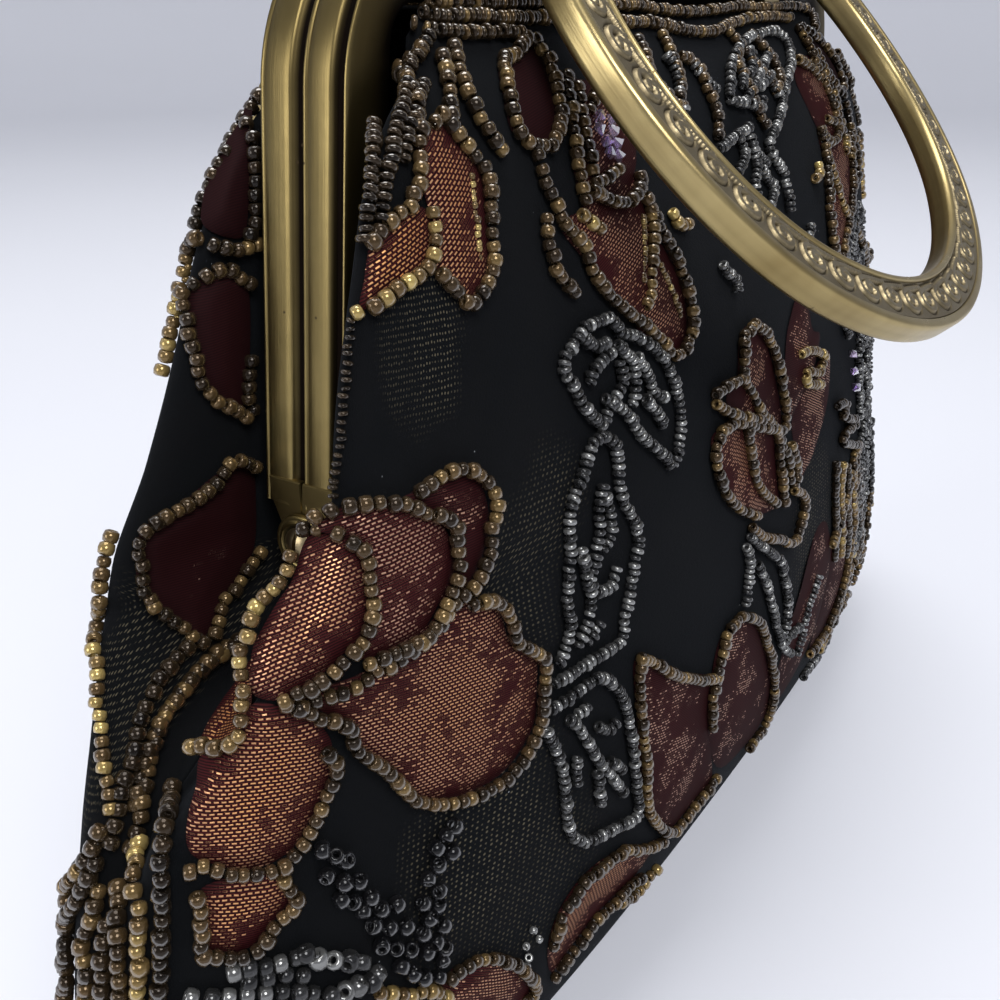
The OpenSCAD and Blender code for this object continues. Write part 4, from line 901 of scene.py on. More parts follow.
# each petal: how much metal shows, how coppery it is, the threads' slant in degrees, and its outline
petal_lines = {
    "hinge_petal": (0.8, 0.55, 24, [
        (303, 545), (315, 530), (337, 533), (349, 540), (362, 551), (366, 568), (369, 603), (361, 636),
        (345, 652), (329, 668), (309, 683), (280, 700), (252, 693), (251, 658), (257, 638), (278, 601),
        (292, 580)]),
    "curled_petal": (0.75, 0.25, 26, [
        (325, 518), (343, 506), (361, 502), (400, 502), (436, 515), (450, 541), (450, 573), (436, 609),
        (414, 638), (361, 660), (345, 652), (361, 636), (369, 603), (366, 568), (349, 540), (315, 530)]),
    "upper_petal": (0.35, 0.2, 20, [
        (415, 490), (440, 472), (465, 470), (480, 480), (489, 516), (485, 547), (471, 579), (440, 613),
        (414, 640), (430, 624), (444, 593), (452, 557), (450, 526), (436, 515), (400, 502)]),
    "full_petal": (0.85, 0.6, 20, [
        (280, 700), (290, 692), (345, 680), (388, 658), (414, 640), (440, 613), (467, 603), (497, 605),
        (509, 638), (535, 654), (537, 684), (535, 719), (521, 749), (497, 777), (458, 796), (416, 798),
        (388, 771), (361, 753), (349, 741), (333, 717), (301, 705)]),
    "low_petal": (0.95, 0.8, 8, [
        (200, 757), (223, 752), (240, 736), (252, 704), (285, 708), (318, 724), (332, 745), (329, 778),
        (313, 814), (290, 851), (247, 870), (201, 860), (187, 845), (188, 815), (196, 785)]),
    "cup_petal": (0.85, 0.75, 8, [
        (198, 893), (201, 925), (198, 945), (231, 952), (253, 945), (267, 929), (288, 904), (295, 897),
        (279, 872), (247, 875), (220, 880)]),
    "inner_petal": (0.95, 0.95, 22, [
        (252, 660), (250, 713), (235, 748), (223, 752), (198, 755), (205, 728), (222, 700), (240, 676)]),
    "end_petal": (0.16, 0.1, 15, [
        (250, 464), (217, 474), (182, 503), (144, 528), (136, 553), (138, 585), (151, 609), (179, 629),
        (197, 643), (215, 620), (232, 588), (253, 551), (256, 505)]),
    "long_petal": (0.45, 0.15, 28, [
        (636, 657), (669, 673), (712, 676), (708, 700), (708, 730), (712, 776), (697, 796), (669, 829),
        (651, 821), (642, 779), (636, 711)]),
    "far_petal": (0.4, 0.2, 28, [
        (737, 615), (753, 620), (761, 639), (767, 659), (770, 690), (762, 720), (745, 745), (718, 768),
        (708, 730), (712, 675), (720, 639)]),
    "arm_petal": (0.8, 0.7, 60, [
        (431, 124), (438, 117), (458, 142), (479, 170), (487, 220), (488, 271), (468, 305), (442, 280),
        (431, 248), (429, 213), (416, 165), (417, 140)]),
    "arm_leaf": (0.95, 0.95, 40, [
        (371, 243), (392, 218), (408, 205), (429, 213), (430, 248), (415, 276), (385, 296), (360, 310),
        (364, 280)]),
    "bell_petal": (0.7, 0.4, 55, [
        (559, 225), (583, 259), (601, 291), (617, 308), (670, 356), (687, 325), (678, 276), (656, 233),
        (634, 175), (622, 204), (588, 200), (578, 212)]),
    "bell_throat": (0.55, 0.3, 55, [
        (561, 82), (600, 84), (630, 105), (636, 150), (634, 175), (622, 204), (590, 196), (576, 182),
        (568, 126)]),
    "rail_petal": (0.1, 0.1, 30, [
        (500, 67), (525, 41), (545, 66), (556, 118), (546, 149), (514, 135), (502, 90)]),
    "tall_petal": (0.5, 0.35, 62, [
        (750, 324), (761, 335), (770, 354), (780, 404), (780, 431), (757, 428), (742, 424), (726, 400),
        (737, 379), (739, 338)]),
    "tall_cup": (0.7, 0.4, 62, [
        (717, 431), (742, 424), (772, 431), (775, 458), (778, 491), (780, 505), (756, 516), (745, 513),
        (720, 491), (711, 447)]),
    "base_petal": (0.75, 0.5, 35, [
        (658, 840), (640, 847), (608, 856), (580, 879), (559, 911), (548, 946), (552, 973), (575, 941),
        (603, 907), (635, 875)]),
    "base_flower": (0.7, 0.4, 10, [
        (447, 976), (461, 964), (484, 955), (507, 960), (523, 971), (532, 987), (525, 1015), (440, 1015)]),
    "rear_petal": (0.06, 0.1, 20, [
        (250, 96), (239, 122), (213, 164), (202, 204), (204, 226), (230, 238), (246, 230), (250, 160),
        (252, 115)]),
    "rear_cup": (0.12, 0.1, 20, [
        (247, 283), (225, 269), (192, 289), (190, 341), (202, 386), (242, 416), (250, 350)])}
mirrored = np.array([-1, 1, 1])
end_petals = ("hinge_petal", "curled_petal", "upper_petal", "full_petal", "low_petal", "cup_petal",
              "inner_petal", "end_petal", "rear_petal", "rear_cup", "arm_petal", "arm_leaf")
petal_step, edge_clear, thread_reach = 5.0, 3.0, 20
rim_rise, cup_rise, cup_reach, cup_power, rise_scale, cloth_slack = 0.35, 0.85, 22, 0.7, 1.25, 3.0
rim_metal, heart_metal, rim_warmth, heart_warmth, heart_power = 0.35, 0.65, 0.5, 0.7, 0.6
inside_only, join_within = 1, 1e-4


def petal_shape(outline, reach_at):
    """A cupped petal: its picture points, its points off the cloth, its faces and the way to its edge."""
    grid = grid_round(outline, 0, petal_step)
    is_in, away = within(outline, grid)
    spots = np.concatenate([outline, grid[is_in & (away > edge_clear)]])
    border = [list(range(len(outline)))]
    corners = [Vector(p) for p in spots.tolist()]
    flat, _, faces = delaunay_2d_cdt(corners, [], border, inside_only, join_within)[:3]
    flat = np.array([tuple(p) for p in flat])
    edge_away = within(outline, flat)[1]
    raised = rim_rise + cup_rise * np.clip(edge_away / cup_reach, 0, 1) ** cup_power
    points = []
    for (x, y), reach, up_by in zip(flat, reach_at(flat), raised):
        ray = sight(x, y)
        point, _, _, distance = cloth_tree.ray_cast(eye_mm, ray)
        if point is not None and distance < reach + cloth_slack:
            reach = min(reach, distance)
        points.append(eye_mm + ray * (reach - up_by * rise_scale))
    points = np.array([tuple(p) for p in points])
    faces = flipped(faces)
    corner, second, third = points[list(faces[0][:3])]
    if np.cross(second - corner, third - corner) @ (np.array(eye_mm) - corner) < 0:
        faces = flipped(faces)
    return flat, points, faces, edge_away


def petal_uv(flat, points, reach_at, slant):
    """The petal's UVs in millimetres, along its threads and across them."""
    angle = math.radians(slant)
    here = flat.mean(0)
    there = here + thread_reach * np.array([math.cos(angle), -math.sin(angle)])
    a, b = [eye_mm + sight(x, y) * float(reach_at(np.array([[x, y]]))[0]) for x, y in (here, there)]
    middle = points.mean(0)
    u_axis = np.array((b - a).normalized())
    v_axis = np.linalg.svd(points - middle)[2][2]
    v_axis = np.cross(v_axis, u_axis)
    v_axis /= np.linalg.norm(v_axis)
    return np.stack([(points - middle) @ u_axis, (points - middle) @ v_axis], -1)


petal_reach = {}
for name, (metal_share, copper_share, slant, drawn) in petal_lines.items():
    outline = smooth_line(drawn, petal_step, True)
    reach_at = reach_surface(outline)
    petal_reach[name] = reach_at
    flat, points, faces, edge_away = petal_shape(outline, reach_at)
    uv_here = petal_uv(flat, points, reach_at, slant)
    heart = np.clip(edge_away / max(edge_away.max(), 1), 0, 1) ** heart_power
    copies = [("", points, faces), ("_turned", turned(points), faces)]
    if name not in end_petals:
        copies += [("_mirrored", points * mirrored, flipped(faces)),
                   ("_mirrored_turned", turned(points * mirrored), flipped(faces))]
    for ending, placed, facing in copies:
        petal = new_piece(name + ending, placed, facing, lame)
        set_uv(petal, uv_here)
        set_value(petal, "metal", metal_share * (rim_metal + heart_metal * heart))
        set_value(petal, "warmth", np.clip(copper_share * (rim_warmth + heart_warmth * heart), 0, 1))
        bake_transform(petal)

# The beadwork: threaded glass seed beads, laid along drawn lines and sewn through the velvet, round
# the petals and in sprays of leaves and stems. A line drawn on the picture is carried along the
# line of sight to the cloth, and the beads of one group on one side are one piece.
longest_gap = 9


def clean_line(points):
    """The longest run of places that stay on one part of the cloth."""
    gaps = np.linalg.norm(np.diff(points, axis=0), axis=1)
    return max(np.split(points, np.nonzero(gaps > longest_gap)[0] + 1), key=len)


dice = random.Random(7)
strands = {}
line_step, strand_sizes, sewn_sizes, wander_by, skew_by = 4.0, (0.82, 1.02), (0.92, 1.08), 0.14, 0.3
bead_sit, petal_t, petal_reach_limit, petal_sit, sewn_tilt = 1.15, 0.5, 6, 1.4, 0.4
fewest_places, thinned_over = 3, 6


def keep_bead(group, bead, both):
    """Adds a bead to its group, and its mirror image where the pattern has both halves."""
    strands.setdefault(group, []).append(bead)
    if both:
        strands[group].append(tuple(tuple(np.array(v) * mirrored) for v in bead[:3]) + bead[3:])


def lay(group, line, pitch=1.62, size=1.0, tone=(0.2, 0.5), over=None, both=False):
    """Threads beads along a line drawn on the picture, sewn down on the cloth or on a petal's edge."""
    drawn = smooth_line(line, line_step)
    if over:
        reach = petal_reach[over](drawn)
        on_it = np.array([tuple(eye_mm + sight(x, y) * float(r)) for (x, y), r in zip(drawn, reach)])
    else:
        on_it = clean_line(np.array([on_cloth(x, y)[0] for x, y in drawn]))
    if len(on_it) < fewest_places:
        return
    places = smooth_line(on_it[::2] if len(on_it) > thinned_over else on_it, pitch * size)
    for i, place in enumerate(places):
        along = places[min(i + 1, len(places) - 1)] - places[max(i - 1, 0)]
        point, normal, _, distance = cloth_tree.find_nearest(Vector(place))
        normal = outward(point, normal)
        grown = size * dice.uniform(*strand_sizes)
        wander = Vector([dice.uniform(-wander_by, wander_by) for _ in range(3)])
        if not over:
            centre = point + normal * (bead_sit * grown) + wander
        elif distance < petal_reach_limit:
            lifted = max((Vector(place) - point).dot(normal), 0.0)
            centre = point + normal * (lifted + bead_sit * grown + petal_t) + wander
        else:
            centre = Vector(place) - (Vector(place) - eye_mm).normalized() * petal_sit + wander
        shade, skew = dice.uniform(*tone), dice.uniform(-skew_by, skew_by)
        keep_bead(group, (tuple(centre), tuple(along), tuple(normal), grown, shade, skew), both)


def sew(group, spots, size=1.0, tone=(0.2, 0.5), both=False):
    """Sews down single beads, each at its own picture point."""
    for x, y in spots:
        point, normal = on_cloth(x, y)
        grown = size * dice.uniform(*sewn_sizes)
        centre = point + normal * bead_sit * grown
        along = Vector((dice.uniform(-1, 1), dice.uniform(-sewn_tilt, sewn_tilt), dice.uniform(-1, 1)))
        bead = (tuple(centre), tuple(along), tuple(normal), grown, dice.uniform(*tone), 0.0)
        keep_bead(group, bead, both)


petal_tone, gold_tone = (0.1, 0.75), (0.55, 1.0)
# the lower flowers, round the petals at the end: tone, the petal that a line runs along, and the line
lower_flower_lines = [
    (petal_tone, "end_petal", [(250, 464), (228, 458), (217, 474), (203, 488), (182, 503), (159, 517),
        (144, 528), (137, 540), (136, 553), (139, 569), (138, 585), (147, 598), (151, 609), (165, 618),
        (179, 629), (191, 640), (197, 643)]),
    (petal_tone, "end_petal", [(209, 635), (215, 620), (217, 606), (232, 588), (245, 566), (253, 551)]),
    (gold_tone, None, [(111, 537), (108, 549), (104, 566), (102, 581), (103, 595), (101, 611), (102, 629),
        (101, 652), (102, 663), (100, 695), (102, 718), (103, 743), (104, 766), (108, 789), (109, 812)]),
    (gold_tone, "hinge_petal", [(300, 560), (292, 587), (278, 601), (264, 618), (257, 638), (251, 658),
        (252, 677), (252, 693), (250, 713), (245, 734), (235, 748), (223, 752), (210, 754), (198, 755)]),
    (petal_tone, "hinge_petal", [(315, 530), (337, 533), (349, 540), (362, 551), (366, 568), (367, 583),
        (369, 603), (364, 620), (361, 636), (345, 652), (329, 668), (309, 683), (290, 692), (280, 700)]),
    (petal_tone, "curled_petal", [(325, 518), (343, 506), (361, 502), (388, 502), (400, 502), (420, 512),
        (436, 515), (450, 526), (450, 541), (452, 557), (450, 573), (444, 593), (436, 609), (430, 624),
        (414, 638), (392, 648), (376, 654), (361, 660)]),
    (petal_tone, "upper_petal", [(415, 490), (440, 472), (465, 470), (480, 480), (489, 500), (489, 516),
        (483, 531), (485, 547), (475, 565), (471, 579), (458, 591), (448, 601), (440, 613), (432, 626),
        (414, 640), (388, 658), (369, 664), (345, 680), (290, 692)]),
    (petal_tone, "full_petal", [(467, 603), (481, 597), (497, 605), (505, 620), (509, 638), (525, 646),
        (535, 654), (539, 668), (537, 684), (535, 703), (535, 719), (527, 735), (521, 749), (511, 763),
        (497, 777), (477, 788), (458, 796), (438, 800), (416, 798), (400, 787), (388, 771), (376, 763),
        (361, 753), (349, 741), (347, 725), (333, 717), (317, 713), (301, 705), (280, 700)]),
    (petal_tone, "low_petal", [(325, 748), (332, 764), (329, 778), (320, 796), (313, 814), (302, 833),
        (290, 851), (274, 863), (247, 870), (224, 867), (201, 860), (187, 867)]),
    (petal_tone, "cup_petal", [(198, 893), (201, 909), (201, 925), (203, 934), (198, 945), (214, 950),
        (231, 952), (253, 945), (267, 929), (274, 918), (288, 904), (295, 897), (288, 888), (279, 872)])]
for tone, over, line in lower_flower_lines:
    lay("end_petal_beads", line, tone=tone, over=over)
dark_tone = (0.0, 0.35)
# the stems that fall from the flowers at the end: tone and line
stem_lines = [
    (dark_tone, [(195, 642), (180, 652), (169, 665), (157, 679), (150, 695), (141, 711), (136, 732),
        (134, 750), (128, 769), (121, 789), (118, 810), (111, 840)]),
    (petal_tone, [(235, 642), (214, 654), (198, 670), (182, 688), (169, 707), (159, 725), (152, 748),
        (146, 775), (141, 801), (139, 824), (132, 847)]),
    (petal_tone, [(228, 650), (206, 664), (190, 680), (174, 698), (161, 717), (152, 735), (144, 758),
        (138, 785), (133, 811)]),
    (dark_tone, [(224, 661), (210, 674), (198, 688), (191, 704), (187, 720), (183, 739), (180, 764),
        (178, 796), (177, 814), (171, 835), (166, 856), (165, 879), (165, 902), (164, 925), (163, 950),
        (162, 975), (160, 998), (158, 1030), (157, 1070)]),
    (gold_tone, [(162, 778), (155, 801), (150, 824), (146, 856), (141, 883), (146, 915), (141, 938),
        (143, 961), (141, 984), (140, 1020), (139, 1060)]),
    (petal_tone, [(134, 828), (126, 865), (127, 893), (127, 934), (125, 961), (125, 994), (123, 1040)]),
    (dark_tone, [(107, 831), (109, 853), (111, 876), (116, 899), (113, 927), (111, 961), (109, 994),
        (107, 1040)]),
    (petal_tone, [(100, 831), (93, 851), (81, 879), (70, 899), (63, 915), (61, 936), (54, 955), (47, 973),
        (42, 991), (36, 1020)]),
    (dark_tone, [(97, 860), (88, 888), (77, 913), (72, 938), (65, 961), (54, 984), (50, 1010)]),
    (petal_tone, [(102, 888), (97, 915), (90, 938), (95, 973), (93, 994), (92, 1030)])]
for tone, line in stem_lines:
    lay("end_stem_beads", line, size=1.12, tone=tone)
leaf_tone, leaf_shared_right = (0.2, 0.9), 740
# the silver-lined leaves and buds across the front. Those that start left of a place are on both halves.
leaf_lines = [
    [(604, 318), (583, 325), (572, 339), (558, 364), (569, 386), (579, 407), (597, 425)],
    [(615, 332), (636, 339), (654, 354), (665, 371), (672, 393), (676, 418), (674, 443), (667, 468)],
    [(604, 318), (615, 332)],
    [(601, 398), (611, 404), (626, 418), (636, 436), (654, 450), (667, 468)],
    [(606, 352), (590, 368), (583, 386)],
    [(615, 362), (618, 382), (606, 403), (600, 420)],
    [(612, 345), (627, 362), (629, 393), (626, 407)],
    [(632, 358), (643, 375), (647, 389), (658, 397)],
    [(640, 400), (650, 410), (658, 425)],
    [(579, 339), (592, 346), (604, 340)],
    [(597, 436), (586, 446), (579, 471), (569, 496), (565, 521), (565, 550), (563, 579), (563, 607),
        (565, 629), (558, 654), (551, 661)],
    [(597, 436), (608, 443), (613, 464), (615, 493), (626, 514), (633, 536), (629, 561), (626, 586),
        (620, 614), (617, 639), (594, 654), (572, 668), (551, 682)],
    [(597, 486), (594, 504), (594, 529), (590, 557), (586, 579), (586, 604), (579, 629), (572, 646)],
    [(600, 496), (606, 514), (604, 539), (597, 552)],
    [(576, 550), (580, 571), (586, 590)],
    [(612, 568), (604, 586), (592, 592)],
    [(594, 622), (584, 640)],
    [(547, 707), (565, 696), (583, 682), (597, 675), (611, 686), (622, 707), (626, 729), (629, 754),
        (631, 779), (633, 800), (633, 814), (611, 825), (590, 836), (576, 839), (565, 829), (561, 800),
        (558, 771), (551, 746), (542, 730)],
    [(565, 718), (576, 729), (586, 746), (597, 764), (611, 779), (619, 793)],
    [(583, 704), (574, 712)],
    [(572, 757), (572, 779), (574, 784)],
    [(593, 772), (594, 785), (596, 802)],
    [(594, 725), (604, 729), (610, 722)],
    [(607, 760), (616, 766)],
    [(745, 536), (761, 549), (775, 560), (780, 579), (783, 601), (783, 615), (777, 645)],
    [(742, 546), (745, 563), (743, 587), (741, 603)],
    [(753, 565), (761, 582), (767, 604), (772, 626), (778, 645), (786, 652)],
    [(813, 576), (808, 593), (802, 612), (799, 628), (791, 656)],
    [(794, 626), (780, 640)],
    [(830, 639), (816, 653), (805, 667), (797, 678)],
    [(717, 266), (723, 275), (731, 280), (731, 291)],
    [(662, 60), (672, 75), (676, 100), (678, 112)],
    [(740, 106), (725, 102), (726, 88), (725, 72), (730, 60), (735, 50), (745, 41), (760, 36), (772, 35),
        (782, 42), (786, 55), (786, 68), (782, 82), (779, 100), (775, 115), (770, 130), (764, 145)],
    [(764, 145), (767, 157), (777, 170), (781, 185), (784, 200), (786, 215)],
    [(765, 55), (760, 65), (754, 80), (746, 95), (737, 110)],
    [(745, 57), (749, 70), (745, 77)],
    [(767, 77), (760, 85), (753, 90)],
    [(757, 102), (757, 110), (747, 107)],
    [(735, 65), (739, 77), (738, 88)],
    [(742, 130), (735, 135), (725, 142), (715, 150)],
    [(735, 142), (740, 155), (735, 170), (732, 177)],
    [(745, 140), (750, 155), (752, 165), (750, 185), (752, 195)],
    [(757, 172), (767, 185), (770, 192), (766, 206)]]
for line in leaf_lines:
    lay("leaf_beads", line, pitch=1.15, size=0.95, tone=leaf_tone, both=line[0][0] < leaf_shared_right)
# the flowers across the front: tone and line. Those that start between two places are on both halves.
shared_left, shared_right = 500, 700
upper_flower_lines = [
    (petal_tone, [(438, 62), (442, 76), (445, 99), (447, 119)]),
    (petal_tone, [(449, 53), (455, 76), (462, 96), (472, 115), (486, 138), (500, 156)]),
    (petal_tone, [(431, 124), (438, 117), (449, 131), (458, 142), (468, 156), (479, 170), (486, 197),
        (487, 220), (488, 243), (488, 271), (479, 289), (468, 305), (458, 298), (442, 280), (434, 272)]),
    (gold_tone, [(429, 213), (431, 230), (430, 248), (424, 266), (415, 276), (399, 285), (385, 296),
        (371, 305), (358, 312)]),
    (petal_tone, [(417, 133), (415, 147), (416, 165), (414, 184), (408, 197), (406, 209), (392, 216),
        (378, 230), (371, 243)]),
    (petal_tone, [(419, 53), (413, 67), (408, 80), (412, 98), (415, 113), (413, 129)]),
    (petal_tone, [(534, 158), (538, 179), (547, 199), (556, 218)]),
    (petal_tone, [(542, 221), (542, 242), (547, 257), (551, 271), (564, 286), (573, 296)]),
    (petal_tone, [(559, 225), (570, 237), (581, 250), (583, 259), (588, 274), (601, 291), (617, 308),
        (636, 322), (656, 339), (670, 356), (682, 344), (687, 325), (685, 301), (678, 276), (668, 254),
        (656, 233), (646, 213), (637, 190), (634, 175)]),
    (gold_tone, [(646, 218), (648, 242), (646, 271), (646, 291), (639, 308)]),
    (petal_tone, [(561, 82), (564, 104), (568, 126), (571, 155), (576, 182), (581, 206)]),
    (petal_tone, [(572, 92), (577, 120), (582, 150), (588, 180), (592, 196)]),
    (petal_tone, [(500, 67), (516, 53), (525, 41)]),
    (petal_tone, [(500, 62), (502, 90), (507, 108), (514, 135), (527, 147), (546, 149)]),
    (petal_tone, [(550, 140), (556, 118), (552, 92), (545, 66), (530, 45)]),
    (petal_tone, [(588, 194), (604, 202), (622, 204), (634, 190), (636, 178)]),
    (gold_tone, [(578, 218), (586, 224), (594, 230)]),
    (gold_tone, [(668, 216), (675, 228), (682, 226)]),
    (petal_tone, [(634, 44), (641, 61), (646, 78), (665, 102), (678, 109)]),
    (petal_tone, [(658, 39), (670, 63), (675, 80), (675, 102)]),
    (petal_tone, [(678, 61), (694, 70), (702, 90), (712, 114), (714, 141)]),
    (petal_tone, [(604, 85), (590, 98), (586, 112)]),
    (petal_tone, [(612, 172), (600, 180), (592, 186)]),
    (petal_tone, [(750, 324), (761, 335), (770, 354), (775, 376), (780, 404), (780, 431), (772, 428)]),
    (petal_tone, [(750, 324), (739, 338), (739, 360), (737, 379), (726, 384), (712, 393)]),
    (petal_tone, [(739, 379), (748, 395), (756, 412), (770, 428), (778, 447), (783, 461), (786, 483)]),
    (petal_tone, [(712, 404), (723, 412), (739, 417), (756, 420)]),
    (petal_tone, [(717, 431), (711, 447), (712, 469), (720, 491), (731, 505), (745, 513), (756, 516)]),
    (petal_tone, [(742, 431), (745, 450), (748, 469), (756, 489), (770, 502)]),
    (petal_tone, [(717, 431), (730, 424), (742, 424), (757, 428), (772, 431), (775, 458), (778, 491),
        (780, 505)]),
    (petal_tone, [(786, 447), (792, 467), (789, 490)]),
    (petal_tone, [(789, 490), (800, 497), (797, 519), (789, 541), (772, 538), (756, 535), (745, 524)]),
    (gold_tone, [(797, 354), (808, 351), (819, 357), (813, 373), (802, 371), (802, 384), (815, 384)]),
    (dark_tone, [(833, 406), (843, 403), (838, 417), (854, 420), (843, 431), (838, 442), (854, 445)]),
    (petal_tone, [(636, 657), (635, 679), (636, 711), (640, 746), (642, 779), (644, 804), (651, 821),
        (669, 829), (683, 814), (697, 796), (712, 776)]),
    (petal_tone, [(636, 657), (654, 664), (669, 673), (697, 679), (712, 676)]),
    (petal_tone, [(737, 615), (726, 626), (720, 639), (717, 656), (712, 675), (708, 700), (708, 730)]),
    (petal_tone, [(737, 615), (753, 620), (761, 639), (767, 659), (770, 690), (762, 720), (745, 745)])]
for tone, line in upper_flower_lines:
    lay("flower_beads", line, tone=tone, both=shared_left <= line[0][0] <= shared_right)
# the rear panel's end: tone and line
rear_end_lines = [
    (dark_tone, [(258, 72), (252, 87), (247, 102), (240, 122), (230, 137), (221, 152), (213, 164),
        (212, 177), (205, 189), (202, 204), (202, 219), (202, 229)]),
    (dark_tone, [(252, 107), (250, 125), (252, 142), (252, 160), (252, 189), (251, 224), (247, 234)]),
    (petal_tone, [(187, 249), (202, 242), (217, 247), (237, 251), (254, 244)]),
    (gold_tone, [(186, 258), (180, 267), (177, 279), (170, 289)]),
    (gold_tone, [(176, 296), (167, 306), (160, 324), (160, 341), (165, 359), (170, 371)]),
    (petal_tone, [(247, 283), (237, 279), (225, 269), (212, 274), (200, 281), (192, 289), (188, 304),
        (190, 321), (190, 341), (195, 359), (197, 373), (202, 386), (215, 401), (230, 408), (242, 416)]),
    (dark_tone, [(247, 361), (244, 376), (244, 396), (250, 413)])]
for tone, line in rear_end_lines:
    lay("rear_end_beads", line, tone=tone)
# the border under the frame and down beside its arm: tone, size and line
border_pitch, thin_pitch, thin_size = 1.1, 1.6, 0.9
border_lines = [
    (petal_tone, 1.0, [(420, 7), (440, 8), (490, 9), (545, 9), (610, 10), (635, 11), (660, 15), (685, 17),
        (710, 15), (735, 11), (760, 12), (785, 10), (802, 12), (810, 22), (811, 30)]),
    (petal_tone, 1.0, [(418, 19), (440, 22), (490, 23), (545, 24), (617, 27), (642, 27), (660, 30),
        (685, 35), (710, 35), (730, 27), (750, 22), (772, 21), (790, 22)]),
    (petal_tone, 0.95, [(414, 31), (440, 36), (480, 37), (520, 38)]),
    (dark_tone, 1.0, [(413, 42), (405, 62), (397, 82), (391, 102), (385, 122), (379, 142), (375, 162),
        (371, 182), (368, 202), (366, 222), (364, 242)]),
    (dark_tone, 1.0, [(425, 42), (417, 62), (409, 82), (403, 102), (397, 122), (391, 142), (387, 162),
        (383, 182), (380, 202), (378, 222)]),
    (dark_tone, 0.95, [(421, 90), (415, 104), (409, 122), (403, 142), (399, 160)]),
    (dark_tone, 0.62, [(352, 320), (350, 345), (348, 372), (345, 400), (343, 428), (340, 455), (337, 480),
        (335, 500)])]
for tone, size, line in border_lines:
    thin = size < thin_size
    lay("border_beads", line, pitch=thin_pitch if thin else border_pitch, size=size, tone=tone)
smoke_tone = (0.0, 0.2)
# dark clusters, and silver rings and rows, low on the front at both its ends
smoke_spots = [(318, 845), (332, 852), (342, 856), (323, 872), (340, 878), (355, 877), (337, 895),
    (350, 898), (367, 893), (359, 907), (377, 905), (392, 900), (369, 921), (385, 923), (401, 922),
    (377, 941), (392, 944), (406, 946), (422, 948), (396, 962), (408, 969), (419, 973), (449, 822),
    (441, 832), (431, 844), (447, 848), (433, 861), (423, 875), (434, 886), (418, 899), (433, 901),
    (424, 914), (438, 921), (418, 929), (431, 938), (440, 944), (438, 957), (434, 973)]
sew("smoke_cluster_beads", smoke_spots, size=1.05, tone=smoke_tone, both=True)
silver_ring_spots = [(302, 948), (314, 953), (330, 955), (344, 955), (357, 957), (373, 969), (367, 976),
    (353, 980), (341, 985), (328, 990)]
sew("silver_row_beads", silver_ring_spots, size=1.2, tone=leaf_tone, both=True)
silver_row_lines = [
    [(232, 966), (247, 961), (262, 961), (280, 957), (297, 952)],
    [(193, 991), (210, 991), (226, 991), (242, 989), (256, 987), (279, 987), (295, 987), (315, 988)],
    [(247, 975), (270, 971), (293, 968), (304, 971)],
    [(180, 1010), (210, 1012), (250, 1010), (290, 1006), (330, 1002)]]
for line in silver_row_lines:
    lay("silver_row_beads", line, pitch=1.9, size=1.1, tone=leaf_tone, both=True)
silver_end_spots = [(530, 928), (536, 937), (523, 944), (525, 955), (523, 964)]
sew("silver_row_beads", silver_end_spots, size=0.6, tone=(0.8, 1.0), both=True)
# the low spray and the flower that stands on the base: tone and line
base_flower_lines = [
    (gold_tone, [(378, 990), (392, 990), (406, 992), (424, 987), (442, 992)]),
    (petal_tone, [(447, 976), (461, 964), (484, 955), (507, 960), (523, 971), (532, 987), (520, 999)]),
    (petal_tone, [(658, 840), (640, 847), (621, 847), (608, 856), (594, 868), (580, 879), (571, 895),
        (559, 911), (552, 932), (548, 946)]),
    (petal_tone, [(635, 875), (619, 889), (603, 907), (589, 921), (575, 941), (564, 955), (552, 973)]),
    (leaf_tone, [(651, 866), (633, 889), (617, 900)])]
for tone, line in base_flower_lines:
    lay("base_flower_beads", line, tone=tone, both=True)
# single threads down the petals; their small beads take bright gold tones that paint the highlight running
# along each thread
highlight_thread_lines = [
    [(468, 179), (472, 218), (476, 257)],
    [(640, 218), (641, 250), (639, 281)],
    [(655, 262), (668, 290), (677, 315)],
    [(190, 261), (178, 294), (167, 326)]]
for line in highlight_thread_lines:
    lay("flower_beads", line, pitch=1.5, size=0.55, tone=gold_tone)
# a block of short columns and a small fan at the front's far end
block_columns, block_left, block_step, fan_rows = 5, 832, 6, 4
for column in range(block_columns):
    x = block_left + block_step * column
    block_line = [(x, 464 + column), (x - 1, 500), (x, 530), (x - 2, 558)]
    lay("flower_beads", block_line, pitch=1.3, size=0.9, tone=gold_tone if column % 2 else dark_tone)
for row in range(fan_rows):
    fan_line = [(850 + 5 * row, 226 + 9 * row), (856 + 3 * row, 240 + 6 * row), (862, 262)]
    lay("flower_beads", fan_line, pitch=1.4, size=0.9, tone=petal_tone)
lilac_spots = [(593, 119), (606, 122), (594, 131), (606, 134), (600, 143), (611, 146), (604, 155),
    (613, 158), (849, 354), (850, 371), (852, 387)]
sew("lilac_crystals", lilac_spots, size=0.8, tone=(0.3, 1.0))

# radius and place along the thread, round a bead's section and round a crystal's
bead_profile = np.array([(0.42, -0.6), (0.7, -0.84), (1.02, -0.64), (1.14, 0.0), (1.02, 0.64), (0.7, 0.84),
                         (0.42, 0.6)])
crystal_profile = np.array([(0.3, -1.3), (1.5, 0.0), (0.3, 1.3)])
bead_sides, crystal_sides, short_bead, reflection_power, tiny = 10, 6, 0.56, 2.2, 1e-9


